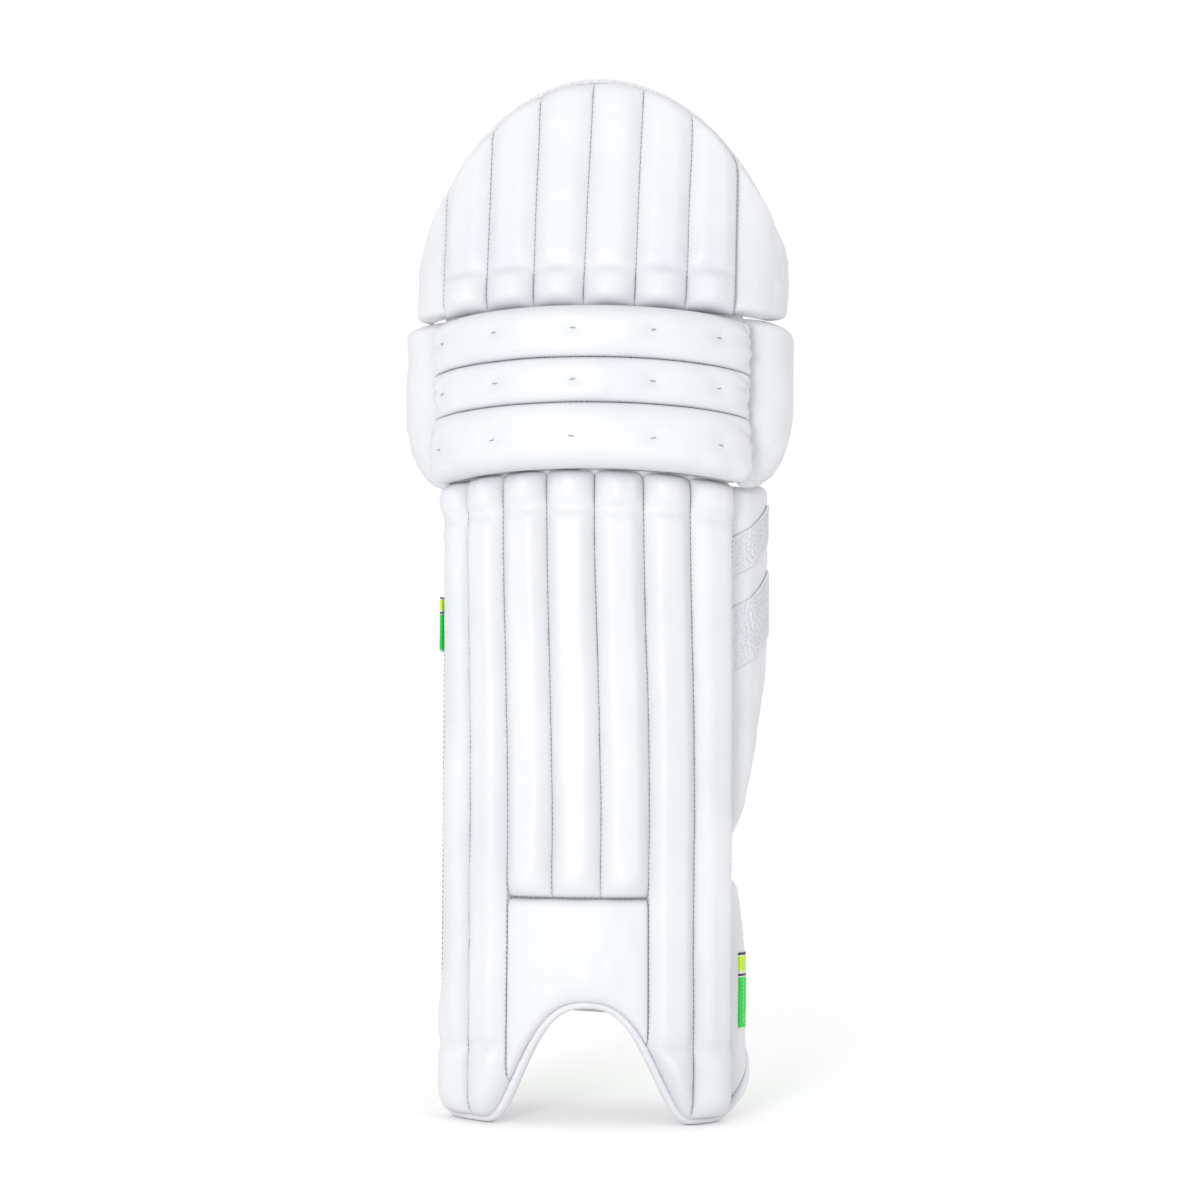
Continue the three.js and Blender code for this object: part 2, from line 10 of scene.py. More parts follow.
import bmesh
import bpy
import numpy as np
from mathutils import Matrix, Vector

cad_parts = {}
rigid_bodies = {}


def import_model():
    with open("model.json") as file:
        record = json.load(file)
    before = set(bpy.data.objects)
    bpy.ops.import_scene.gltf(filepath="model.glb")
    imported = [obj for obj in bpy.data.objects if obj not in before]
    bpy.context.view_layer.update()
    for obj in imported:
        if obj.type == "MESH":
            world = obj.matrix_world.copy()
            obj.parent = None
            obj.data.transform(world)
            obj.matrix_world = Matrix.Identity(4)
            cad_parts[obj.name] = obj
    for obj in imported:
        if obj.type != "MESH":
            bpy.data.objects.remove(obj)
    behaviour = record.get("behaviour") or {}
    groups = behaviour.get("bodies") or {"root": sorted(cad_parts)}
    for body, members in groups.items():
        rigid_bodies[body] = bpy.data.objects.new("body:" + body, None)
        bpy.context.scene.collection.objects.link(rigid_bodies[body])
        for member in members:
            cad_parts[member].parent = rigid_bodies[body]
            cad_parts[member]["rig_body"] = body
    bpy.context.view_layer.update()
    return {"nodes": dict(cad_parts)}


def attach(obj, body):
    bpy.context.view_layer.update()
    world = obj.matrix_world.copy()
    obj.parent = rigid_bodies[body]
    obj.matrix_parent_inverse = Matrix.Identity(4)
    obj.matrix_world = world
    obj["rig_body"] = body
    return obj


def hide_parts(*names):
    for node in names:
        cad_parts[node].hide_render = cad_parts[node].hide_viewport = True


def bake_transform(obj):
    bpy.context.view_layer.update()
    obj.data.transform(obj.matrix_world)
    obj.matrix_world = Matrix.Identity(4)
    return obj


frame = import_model()
NODES = frame["nodes"]
PI = math.pi

# ------------------------------------------------------------------------------------ frames
LEAN = math.radians(2.2)  # the whole pad leans back on its feet
SHIFT = np.array([1.919, -79.541, 0.450])  # from the pad's own origin to the row frame's
FLAP_LEAN = math.radians(8)
FLAP_PIVOT = 606


def leaning(p, angle):
    """Points turned back about X by an angle."""
    c, s = math.cos(angle), math.sin(angle)
    x, y, z = p[..., 0], p[..., 1], p[..., 2]
    return np.stack([x, y * c + z * s, -y * s + z * c], -1)


def pad_frame(p):
    return (leaning(p, LEAN) + SHIFT) / 1000


def flap_frame(p):
    return pad_frame(leaning(p, FLAP_LEAN) + np.array([0, 0, FLAP_PIVOT]))


# ------------------------------------------------------------------------------------ plan curves
def plan_curve(x0, y0, outer_arcs, inner_arcs):
    """Arcs end to end from the section's middle. at(s, out) gives the point s along and out proud of them."""

    def walk(arcs, distance):
        x, y, heading = (np.zeros_like(distance) for _ in range(3))
        left = distance.copy()
        for radius, length in arcs:
            run = np.minimum(left, length)
            turned = heading + run / radius
            x = x + radius * (np.sin(turned) - np.sin(heading))
            y = y + radius * (np.cos(heading) - np.cos(turned))
            heading, left = turned, left - run
        return x, y, heading

    def at(s, out=0.0):
        s, out = np.broadcast_arrays(np.asarray(s, float), np.asarray(out, float))
        side = np.where(s < 0, -1.0, 1.0)
        xo, yo, ho = walk(outer_arcs, np.abs(s))
        xi, yi, hi = walk(inner_arcs, np.abs(s))
        x, y, h = (np.where(s < 0, a, b) for a, b in ((xi, xo), (yi, yo), (hi, ho)))
        return x0 + side * (x + out * np.sin(h)), y0 + y - out * np.cos(h)

    return at


SHIN_RADIUS, KNEE_RADIUS, FLAP_RADIUS = 132, 155, 236
SHIN_PITCH = SHIN_RADIUS * math.radians(15)  # from seam to seam
SHIN_EDGE = 3.5 * SHIN_PITCH
FLAP_PITCH = FLAP_RADIUS * math.radians(9)
FLAP_EDGE = 3 * FLAP_PITCH
MIDDLE = 1.5 * SHIN_PITCH  # half the width of the three middle channels
KNEE_HALF = 128
BOW = 9  # how far the rolls, and the shin's top, droop at their ends
SIDE_END = {-1: SHIN_EDGE + 48.7, 1: SHIN_EDGE + 49.7}  # the side flaps' back edges
ANKLE_STRAP_Z, CALF_STRAP_Z, KNEE_STRAP_Z = 97, 373, 545
shin_arc, flap_arc = (SHIN_RADIUS, SHIN_EDGE), (FLAP_RADIUS, FLAP_EDGE)
inner_side = [shin_arc, (20, 14.7), (200, 34)]
side_curve = plan_curve(-4, 0, [shin_arc, (34, 23.7), (300, 26)], inner_side)
wing_curve = plan_curve(-4, 0, [shin_arc, (86, 82)], inner_side)
ear_arcs = [(KNEE_RADIUS, KNEE_HALF), (84, 50), (220, 40)]
knee_curve = plan_curve(0, -8, ear_arcs, ear_arcs)
flap_curve = plan_curve(0, -6, [flap_arc, (57, 68)], [flap_arc, (45, 48)])


# ------------------------------------------------------------------------------------ small maths
def smooth(x, a, b):
    t = np.clip((x - a) / (b - a), 0, 1)
    return t * t * (3 - 2 * t)


def dome(distance, radius, power=2.0):
    """From 0 at an edge to 1 a radius in from it, as a quarter circle, or squarer for a higher power."""
    t = np.clip(distance / radius, 0, 1)
    return np.maximum(0, 1 - (1 - t) ** power) ** (1 / power)


def bell(x, middle, width):
    return np.exp(-(((x - middle) / width) ** 2))


LATTICE = np.random.RandomState(11).uniform(-1, 1, 4096)


def noise(x, y, seed=0):
    """Smooth noise from -1 to 1 with cells of one unit, the same on every run."""
    x, y = np.broadcast_arrays(np.asarray(x, float), np.asarray(y, float))
    xi, yi = np.floor(x).astype(int), np.floor(y).astype(int)
    fx, fy = x - xi, y - yi
    fx, fy = fx * fx * (3 - 2 * fx), fy * fy * (3 - 2 * fy)

    def corner(i, j):
        return LATTICE[(i * 157 + j * 2657 + seed * 911) % len(LATTICE)]

    low = corner(xi, yi) * (1 - fx) + corner(xi + 1, yi) * fx
    high = corner(xi, yi + 1) * (1 - fx) + corner(xi + 1, yi + 1) * fx
    return low * (1 - fy) + high * fy


def steps(n, ease=0.4):
    """n + 1 numbers from 0 to 1, closer together near the ends."""
    t = np.linspace(0, 1, n + 1)
    return ease * (1 - np.cos(PI * t)) / 2 + (1 - ease) * t


def at_heights(curve, s, out, z):
    """Points of a plan curve at heights z, as an array of x, y, z."""
    s, out, z = np.broadcast_arrays(s, out, z)
    x, y = curve(s, out)
    return np.stack([x, y, z], -1)


# ------------------------------------------------------------------------------------ materials
class Nodes:
    """A material under construction: each method adds a node and returns its output socket."""

    def __init__(self, name):
        self.material = bpy.data.materials.new(name)
        self.material.use_nodes = True
        self.tree = self.material.node_tree
        self.shader = self.tree.nodes["Principled BSDF"]
        self.place = self.add("ShaderNodeTexCoord").outputs["Object"]

    def add(self, kind, **inputs):
        node = self.tree.nodes.new(kind)
        for name, value in inputs.items():
            self.join(value, node.inputs[name.replace("_", " ")])
        return node

    def join(self, value, socket):
        if isinstance(value, bpy.types.NodeSocket):
            self.tree.links.new(value, socket)
        else:
            socket.default_value = value

    def set(self, **inputs):
        for name, value in inputs.items():
            self.join(value, self.shader.inputs[name.replace("_", " ")])

    def stretched(self, x, y, z):
        node = self.add("ShaderNodeMapping", Vector=self.place)
        node.inputs["Scale"].default_value = (x, y, z)
        return node.outputs["Vector"]

    def noise(self, scale, detail=2.0, where=None, roughness=0.5):
        node = self.add("ShaderNodeTexNoise", Scale=scale, Detail=detail, Roughness=roughness)
        self.join(where or self.place, node.inputs["Vector"])
        return node.outputs["Fac"]

    def cells(self, scale):
        node = self.add("ShaderNodeTexVoronoi", Scale=scale)
        self.join(self.place, node.inputs["Vector"])
        return node.outputs["Distance"]

    def waves(self, scale, axis, distortion=0.0):
        node = self.add("ShaderNodeTexWave", Scale=scale, Distortion=distortion, Detail=1.0)
        node.bands_direction = axis
        self.join(self.place, node.inputs["Vector"])
        return node.outputs["Fac"]

    def math(self, operation, a, b=0.0):
        node = self.tree.nodes.new("ShaderNodeMath")
        node.operation = operation
        self.join(a, node.inputs[0])
        self.join(b, node.inputs[1])
        return node.outputs["Value"]

    def range(self, value, low, high, to_low, to_high):
        node = self.tree.nodes.new("ShaderNodeMapRange")
        for socket, number in zip(node.inputs, (value, low, high, to_low, to_high)):
            self.join(number, socket)
        return node.outputs["Result"]

    def blend(self, share, a, b):
        node = self.tree.nodes.new("ShaderNodeMix")
        node.data_type = "RGBA"
        self.join(share, node.inputs["Factor"])
        for socket, value in ((node.inputs[6], a), (node.inputs[7], b)):
            self.join(value if isinstance(value, bpy.types.NodeSocket) else (*value, 1), socket)
        return node.outputs[2]

    def attribute(self, name):
        node = self.tree.nodes.new("ShaderNodeAttribute")
        node.attribute_name = name
        return node.outputs["Fac"]

    def bump(self, height, strength, distance, under=None):
        node = self.add("ShaderNodeBump", Height=height, Strength=strength, Distance=distance)
        if under is not None:
            self.join(under, node.inputs["Normal"])
        return node.outputs["Normal"]


def leather(name, pale, shade, rough=0.42, grain=1.0):
    """Coated white leather: fine pebble grain, soft creases, greyer and duller in the seams and at scuffs; the
    greying in the seams is partly dirt and partly painted shade.
    """
    n = Nodes(name)
    drift = n.noise(9, 3)
    colour = n.blend(n.range(drift, 0.35, 0.7, 0, 1), pale, shade)
    scuffs = n.range(n.noise(38, 5, roughness=0.7), 0.62, 0.8, 0, 0.22)
    colour = n.blend(scuffs, colour, tuple(c * 0.86 for c in shade))
    # Painted shade, with some dirt: the colour darkens where the seam attribute is high, in seams, valleys and
    # at edges.
    seam = n.attribute("seam")
    colour = n.blend(n.math("MULTIPLY", seam, 0.22), colour, tuple(c * 0.8 for c in shade))
    pebbles = n.cells(950)
    pores = n.noise(1500, 2)
    creases = n.noise(95, 4, roughness=0.6)
    normal = n.bump(creases, 0.20 * grain, 0.0012)
    normal = n.bump(pebbles, 0.16 * grain, 0.0004, normal)
    normal = n.bump(pores, 0.08 * grain, 0.0002, normal)
    gloss = n.range(n.noise(60, 3), 0.3, 0.7, rough - 0.05, rough + 0.09)
    n.set(Base_Color=colour, Roughness=n.math("ADD", gloss, n.math("MULTIPLY", seam, 0.15)), Normal=normal)
    n.set(Specular_IOR_Level=0.42, Coat_Weight=0.06, Coat_Roughness=0.35)
    return n.material


def cloth(name, pale, shade, pitch=650, rough=0.85):
    """Plain-woven lining cloth: two sets of threads, a soft sheen and a little greying."""
    n = Nodes(name)
    warp = n.waves(pitch, "X", 0.4)
    weft = n.waves(pitch, "Z", 0.4)
    weave = n.math("MULTIPLY", warp, weft)
    greyed = n.range(n.noise(14, 4), 0.4, 0.75, 0, 1)
    colour = n.blend(greyed, pale, shade)
    colour = n.blend(n.range(weave, 0, 1, 0.35, 0), colour, tuple(c * 0.8 for c in shade))
    normal = n.bump(n.noise(70, 3), 0.15, 0.001)
    normal = n.bump(weave, 0.5, 0.0005, normal)
    n.set(Base_Color=colour, Roughness=n.range(n.noise(200, 2), 0, 1, rough - 0.08, rough + 0.08), Normal=normal)
    n.set(Sheen_Weight=0.25, Sheen_Roughness=0.5, Specular_IOR_Level=0.2)
    return n.material


def foam(name, pale, shade):
    n = Nodes(name)
    pores = n.cells(520)
    colour = n.blend(n.range(pores, 0.1, 0.6, 0.5, 0), n.blend(n.noise(12, 3), pale, shade), shade)
    n.set(Base_Color=colour, Roughness=n.range(n.noise(300, 2), 0, 1, 0.86, 0.98))
    n.set(Normal=n.bump(pores, 0.6, 0.0008), Specular_IOR_Level=0.2, Sheen_Weight=0.1)
    return n.material


def cane_wood(name):
    """Split cane: long fibres along Z, with pale and brown streaks."""
    n = Nodes(name)
    fibres = n.noise(60, 5, n.stretched(14, 14, 0.35), 0.6)
    fine = n.noise(300, 2, n.stretched(9, 9, 0.2))
    colour = n.blend(n.range(fibres, 0.3, 0.7, 0, 1), (0.66, 0.47, 0.24), (0.80, 0.64, 0.38))
    n.set(Base_Color=colour, Roughness=n.range(fine, 0, 1, 0.42, 0.62))
    n.set(Normal=n.bump(fine, 0.35, 0.0006), Specular_IOR_Level=0.4)
    return n.material


def webbing(name, colour, rough=0.72):
    """Ribbed strap webbing, its ribs running round the leg."""
    n = Nodes(name)
    ribs = n.waves(310, "Z", 0.25)
    picks = n.waves(480, "X", 0.6)
    picks = n.math("ADD", picks, n.waves(480, "Y", 0.6))
    weave = n.math("MULTIPLY", ribs, n.range(picks, 0, 2, 0.55, 1))
    worn = n.range(n.noise(55, 4), 0.4, 0.8, 0, 0.35)
    base = n.blend(n.range(weave, 0, 1, 0.4, 0), colour, tuple(c * 0.62 for c in colour))
    base = n.blend(worn, base, tuple(min(1, c * 0.88 + 0.02) for c in colour))
    n.set(Base_Color=base, Roughness=n.range(n.noise(240, 2), 0, 1, rough - 0.1, rough + 0.1))
    n.set(Normal=n.bump(weave, 0.55, 0.0006), Sheen_Weight=0.2, Specular_IOR_Level=0.3)
    return n.material


def pile(name, pale, shade):
    """Brushed loop tape: a dense, fuzzy, slightly matted pile."""
    n = Nodes(name)
    loops = n.cells(1100)
    mats = n.noise(160, 4, roughness=0.7)
    colour = n.blend(n.range(mats, 0.35, 0.7, 0, 1), pale, shade)
    height = n.math("ADD", loops, n.math("MULTIPLY", mats, 1.4))
    n.set(Base_Color=colour, Roughness=n.range(mats, 0, 1, 0.88, 0.99))
    n.set(Normal=n.bump(height, 0.8, 0.0008), Sheen_Weight=0.5, Specular_IOR_Level=0.1)
    return n.material


def thread(name, colour):
    n = Nodes(name)
    twist = n.waves(1400, "DIAGONAL", 0.5)
    base = n.blend(twist, tuple(c * 0.7 for c in colour), colour)
    n.set(Base_Color=base, Roughness=n.range(twist, 0, 1, 0.5, 0.7))
    n.set(Normal=n.bump(twist, 0.5, 0.0002), Sheen_Weight=0.15)
    return n.material


PALE = (0.670, 0.678, 0.700)
SHADE = (0.615, 0.628, 0.660)
LEATHER = leather("white leather", PALE, SHADE)
BOUND = leather("binding leather", (0.70, 0.705, 0.72), (0.64, 0.65, 0.675), 0.5, 1.6)
EMBOSSED = leather("embossed leather", (0.665, 0.675, 0.70), (0.60, 0.615, 0.655), 0.5, 0.8)
LINING = cloth("lining cloth", (0.74, 0.745, 0.76), (0.66, 0.67, 0.69))
CUSHION = cloth("cushion cloth", (0.77, 0.775, 0.79), (0.70, 0.71, 0.73), 520)
FOAM = foam("backing foam", (0.72, 0.725, 0.735), (0.64, 0.645, 0.655))
CANE = cane_wood("split cane")
WEB_WHITE = webbing("white webbing", (0.80, 0.81, 0.82))
WEB_BLACK = webbing("black webbing", (0.012, 0.012, 0.014))
WEB_YELLOW = webbing("yellow webbing", (0.60, 0.95, 0.0))
WEB_GREEN = webbing("green webbing", (0.0, 0.70, 0.05))
PILE = pile("loop tape", (0.70, 0.71, 0.73), (0.58, 0.59, 0.62))
DARK_THREAD = thread("grey thread", (0.33, 0.40, 0.39))
WHITE_THREAD = thread("white thread", (0.78, 0.79, 0.80))


# ------------------------------------------------------------------------------------ lines of points
def unit(v):
    return v / np.maximum(np.linalg.norm(v, axis=-1, keepdims=True), 1e-12)


def square_to(v, along):
    """Unit vectors square to along, nearest to v."""
    return unit(v - along * (v * along).sum(-1, keepdims=True))


def travelled(line):
    """How far along a line each of its points is."""
    return np.concatenate([[0], np.cumsum(np.linalg.norm(np.diff(line, axis=0), axis=1))])


def resampled(values, gone, at):
    """Rows of values that are known at the distances gone, read at other distances."""
    return np.stack([np.interp(at, gone, column) for column in values.T], -1)


def smoothed(values, width):
    """Values, or rows of them, averaged over a window with soft ends."""
    kernel = np.hanning(width) / np.hanning(width).sum()
    columns = values.reshape(len(values), -1).T
    done = [np.convolve(np.pad(c, width // 2, mode="edge"), kernel, "valid") for c in columns]
    return np.stack(done, -1).reshape(values.shape)


def ring_round(across, over, sides, flat=1.0):
    """A ring of unit points round each point of a line, widened by flat along over."""
    turn = np.arange(sides) * 2 * PI / sides
    return across[:, None] * np.cos(turn)[None, :, None] + over[:, None] * np.sin(turn)[None, :, None] * flat


def tube_faces(rings, sides):
    i, j = np.meshgrid(np.arange(rings - 1), np.arange(sides), indexing="ij")
    a, b = (i * sides + j).ravel(), (i * sides + (j + 1) % sides).ravel()
    ends = [list(range(sides))[::-1], list(range((rings - 1) * sides, rings * sides))]
    return np.stack([a, b, b + sides, a + sides], -1).tolist() + ends


# ------------------------------------------------------------------------------------ meshes
def grid_faces(n, m, first=0):
    i, j = np.meshgrid(np.arange(n - 1), np.arange(m - 1), indexing="ij")
    a = (first + i * m + j).ravel()
    return np.stack([a, a + 1, a + m + 1, a + m], -1)


def rim_of(n, m):
    """The grid's boundary vertices in order."""
    top = np.arange(m)
    right = np.arange(1, n) * m + m - 1
    bottom = (n - 1) * m + np.arange(m - 2, -1, -1)
    left = np.arange(n - 2, 0, -1) * m
    return np.concatenate([top, right, bottom, left])


# A stitch from end to end: the share of its length, its thickness there, and its lift off the leather.
STITCH = ((-0.5, 0.35, -0.25), (-0.34, 0.95, 0.0), (0.0, 1.0, 0.12), (0.34, 0.95, 0.0), (0.5, 0.35, -0.25))
STITCH_SIDES = 5


class Shape:
    """Closed bodies gathered into one mesh, with a seam shade and a material number for each part."""

    def __init__(self):
        self.points, self.faces, self.seams, self.surfaces, self.count = [], [], [], [], 0

    def add(self, points, faces, seam=0.0, surface=0):
        points = np.asarray(points, float).reshape(-1, 3)
        self.points.append(points)
        self.faces += [[int(v) + self.count for v in f] for f in faces]
        self.seams.append(np.broadcast_to(np.asarray(seam, float).ravel(), len(points)))
        self.surfaces.append(np.broadcast_to(np.asarray(surface, int).ravel(), len(faces)))
        self.count += len(points)

    def slab(self, front, back, seam=0.0, surface=0, both=False):
        """A closed body between two grids, joined round their rims. both shows the surfaces behind too."""
        n, m = front.shape[:2]
        size = n * m
        rim = rim_of(n, m)
        ahead = np.roll(rim, -1)
        walls = np.stack([rim, rim + size, ahead + size, ahead], -1)
        faces = np.concatenate([grid_faces(n, m), grid_faces(n, m, size)[:, ::-1], walls])
        seam = np.broadcast_to(seam, (n, m)).ravel()
        if np.ndim(surface):
            s = np.reshape(surface, (n - 1, m - 1))
            edges = np.concatenate([s[0], s[:, -1], s[-1, ::-1], s[::-1, 0]])
            surface = np.concatenate([s.ravel(), s.ravel() * both, edges * both])
        points = np.concatenate([front.reshape(-1, 3), back.reshape(-1, 3)])
        self.add(points, faces, np.concatenate([seam, seam * 0]), surface)

    def tube(self, path, radius, sides, seam, flat, up):
        """A closed tube along points. up is the way its section is widened by flat, at each point."""
        along = unit(np.gradient(path, axis=0))
        over = square_to(up, along)
        ring = ring_round(np.cross(along, over), over, sides, flat)
        self.add(path[:, None] + ring * radius[:, None, None], tube_faces(len(path), sides), seam)

    def dashes(self, path, out, pitch=4.0, length=2.6, radius=0.26, start=0.5, surface=0):
        """Stitches along a line of points: short threads whose ends dip into the leather."""
        gone = travelled(path) * 1000
        if gone[-1] < pitch:
            return
        middles = np.arange(pitch * start, gone[-1] - length / 2, pitch)
        out = resampled(np.broadcast_to(out, path.shape), gone, middles)
        ahead, behind = (resampled(path, gone, middles + step) for step in (0.4, -0.4))
        along = unit(ahead - behind)
        over = square_to(out, along)
        ring = ring_round(np.cross(along, over), over, STITCH_SIDES)
        rings = [
            resampled(path, gone, middles + share * length)[:, None]
            + (ring * wide + over[:, None] * lift) * radius / 1000
            for share, wide, lift in STITCH
        ]
        template = tube_faces(len(STITCH), STITCH_SIDES)
        size = len(STITCH) * STITCH_SIDES
        faces = [[v + size * k for v in f] for k in range(len(middles)) for f in template]
        self.add(np.stack(rings, 1), faces, 0, surface)

    def build(self, name, materials, creases=40):
        mesh = bpy.data.meshes.new(name)
        mesh.from_pydata(np.concatenate(self.points), [], self.faces)
        mesh.validate()
        for surface in materials:
            mesh.materials.append(surface)
        mesh.polygons.foreach_set("material_index", np.concatenate(self.surfaces).astype(np.int32))
        # The seam attribute carries painted shade and some dirt into the leather's colour near seams and edges.
        seam = mesh.attributes.new("seam", "FLOAT", "POINT")
        seam.data.foreach_set("value", np.concatenate(self.seams).astype(np.float32))
        mesh.update()
        obj = bpy.data.objects.new(name, mesh)
        bpy.context.scene.collection.objects.link(obj)
        face_outward(mesh)
        mesh.shade_smooth()
        mesh.set_sharp_from_angle(angle=math.radians(creases))
        return obj


def face_outward(mesh):
    """Turns every closed body's faces outwards."""
    b = bmesh.new()
    b.from_mesh(mesh)
    bmesh.ops.recalc_face_normals(b, faces=b.faces)
    b.to_mesh(mesh)
    b.free()


def stand_for(obj, node, also=()):
    """The piece takes a CAD node's place on its body."""
    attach(obj, NODES[node]["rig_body"])
    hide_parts(node, *also)
    return obj


# A section of the pad: its plan curve, and the frame its heights are written in.
SHIN = (side_curve, pad_frame)
OUTER_WING = (wing_curve, pad_frame)
KNEE = (knee_curve, pad_frame)
TOP_FLAP = (flap_curve, flap_frame)


def placed(section, s, out, z):
    curve, place = section
    return place(at_heights(curve, s, out, z))


# seam, from 0 to 1 at each point, darkens and dulls the leather: painted shade and some dirt near seams and
# edges.
def sewn(node, section, s, z, out, back, seam=0.0, fill=None, ending="sewn", slot="face", surface=LEATHER,
         creases=40, also=()):
    """A CAD node's piece: a closed body from back to out, both as distances proud of the plan curve."""
    shape = Shape()
    shape.slab(placed(section, s, out, z), placed(section, s, back, z), seam)
    return stand_for(shape.build(f"{node}_{ending}", [surface], creases), node, also)


# The ending, slot and surface of a lining and of a roll's stuffing, for sewn.
CLOTH = ("cloth", "lining", LINING)
WADDING = ("wadding", "foam", FOAM)
stitches = {}


def stitch(body):
    """The shape that gathers a body's stitches."""
    return stitches.setdefault(body, Shape())


def lateral(curve, s):
    """Outward direction of a plan curve at s."""
    x0, y0 = curve(s, 0.0)
    x1, y1 = curve(s, 1.0)
    return np.stack([x1 - x0, y1 - y0, np.zeros_like(x0)], -1)


def sew(body, section, s, out, z, *thread, sign=1, **how):
    """Stitches along a line over a section. thread is their pitch, length and radius."""
    stitch(body).dashes(placed(section, s, out, z), lateral(section[0], s) * sign, *thread, **how)


# ------------------------------------------------------------------------------------ the bottom edge
ARCH_X, ARCH_HALF, ARCH_HEIGHT = 7.5, 80, 87.5
HEEL_FROM = 110  # the bottom edge lifts beyond this, towards the back
SEWN_CLEAR = 5.0  # the panels end this far inside the pad's edge
EDGE_CLEAR = 8.55  # and their linings and tapes this far
PIPING = 3.4
INSTEP_TOP = 168.8  # the instep panel's top, where the middle channels begin


def bottom_edge(s):
    share = np.abs(s - ARCH_X) / ARCH_HALF
    arch = np.where(share < 1, 0.5 * (1 + np.cos(PI * np.minimum(share, 1) ** 1.35)), 0)
    return ARCH_HEIGHT * arch + np.maximum(0, np.abs(s) - HEEL_FROM) ** 2 / 45


def inside_edge(s, offset):
    slope = bottom_edge(s + 0.5) - bottom_edge(s - 0.5)
    length = np.hypot(1, slope)
    return s - offset * slope / length, bottom_edge(s) + offset / length


SEWN_EDGE = inside_edge(np.linspace(-175, 175, 1401), SEWN_CLEAR)


def foot(s):
    """Height of the panels' bottom edge."""
    return np.interp(s, *SEWN_EDGE)


def shin_top(s):
    return 486.4 - BOW * (side_curve(s)[0] / 110) ** 2


# ------------------------------------------------------------------------------------ channels
def valley(from_foot, from_top):
    """How far a seam's floor stands off the backing, away from its ends."""
    return 5.6 * dome(from_foot, 16) * dome(from_top, 13)


def flat_top(u, flank=0.29, power=1.25):
    """A channel over its flat cane: two sloping flanks and a slightly crowned top."""
    share = np.clip(np.minimum(u, 1 - u) / flank, 0, 1)
    return 0.95 * (1 - (1 - share) ** power) + 0.05 * np.sin(PI * u)


def round_top(u):
    return np.maximum(0, np.sin(PI * u)) ** 0.8


def channel(section, s0, s1, low, high, rise, rows, wander, shape):
    """One sewn channel as a closed body on its backing, between two seams."""
    u, t = steps(20, 0.55)[None, :], steps(rows, 0.3)[:, None]
    s = s0 + 0.12 + (s1 - s0 - 0.24) * u
    z0, z1 = low(s), high(s)
    z = z0 + (z1 - z0) * t
    near = np.minimum(u, 1 - u) * (s1 - s0)
    out = 0.9 + valley(z - z0, z1 - z) + rise(u, z - z0, z1 - z, z, s)
    moved = s + wander(s, z)
    # The seam value rises towards both seams: painted shade and some dirt in the valleys between channels.
    shape.slab(placed(section, moved, out, z), placed(section, moved, 0.25, z), np.exp(-near / 2.2))


def puckers(near, z, seed):
    """Small gathers where a line of stitches pulls the leather down."""
    ripple = noise(z / 9.0, near / 14 + seed, seed) + 0.5 * noise(z / (9.0 * 0.45), near / 7, seed + 5)
    return 0.55 * ripple * np.exp(-near / 5.0) * np.minimum(1, near / 1.2)


def lumps(u, z, index, size, cell, seed):
    """Soft unevenness along a channel, none at its seams."""
    coarse = size * noise(z / cell, u * 1.7 + index * 3, seed)
    return (coarse + 0.35 * noise(z / 11, u * 2.6 + index * 5, seed + 2)) * np.sin(PI * u)


def crush(u, s, from_end, cell, seed):
    """Creases where a channel's end is drawn in."""
    return 1.3 * noise(s / cell, from_end / 18, seed) * bell(from_end, 8, 16) * np.sin(PI * u)


# ------------------------------------------------------------------------------------ shin
def flare(s, z):
    """The outer flap stands off the leg towards its foot, except where its strap pulls the edge in."""
    s, from_strap = np.asarray(s, float), np.asarray(z, float) - ANKLE_STRAP_Z
    level = np.sign(from_strap) * np.maximum(0, np.abs(from_strap) - 32)
    pulled = 0.85 * (1 - smooth(np.abs(from_strap), 32, 60)) * smooth(s, SIDE_END[1] - 24, SIDE_END[1] - 5)
    return 8.5 * smooth(68 - level, 0, 105) * smooth(s, SHIN_EDGE + 1, SHIN_EDGE + 24) * (1 - pulled)


def shin_wander(s, z):
    """The seams lean a little towards the inner side near the knee, and wander slightly."""
    hold = 1 - np.abs(np.clip(s / SHIN_EDGE, -1, 1)) ** 4
    return hold * (-5.5 * smooth(z, 230, 480) + 0.5 * noise(z / 45, s / 30, 3))


def shin_rise(index):
    """A shin channel's height over its cane, its soft toe or closed end, and its waist under the knee."""

    def rise(u, from_foot, from_top, z, s):
        near = np.minimum(u, 1 - u) * SHIN_PITCH
        pillow = round_top(u)
        top = 1 - smooth(from_top, 21, 31)
        h = flat_top(u) * 0.93 * (1 - top) + pillow * 1.24 * top
        h = h * (1 - 0.34 * bell(from_top, 28 + 1.5 * math.sin(index * 2.1), 6.4))
        if is_short(index):
            end = 1 - smooth(from_foot, 10, 34)
            h = h * (1 - end) + np.sin(PI * u) * 1.05 * end
            closing = dome(from_foot, 19)
        else:
            toe = 1 - smooth(z, 46, 60)
            h = h * (1 - toe) + pillow * 1.06 * toe
            h = h * (1 - 0.30 * bell(z, 57, 6) * smooth(from_foot, 3, 16))
            closing = dome(from_foot, 22)
        h = 10.0 * h * closing * dome(from_top, 10, 2.4)
        if index == 0:
            h = h - 4.0 * bell(u, 0.2, 0.22) * smooth(z, 70, 120) * (1 - smooth(z, 425, 470))
        folds = lumps(u, z, index, 0.9, 36, 21) + puckers(near, z, index + 31) + crush(u, s, from_top, 6.5, 7)
        return np.maximum(0, h + folds * closing * dome(from_top, 6))

    return rise


def is_short(index):
    """The three middle channels end above the instep panel."""
    return 1 < index < 5


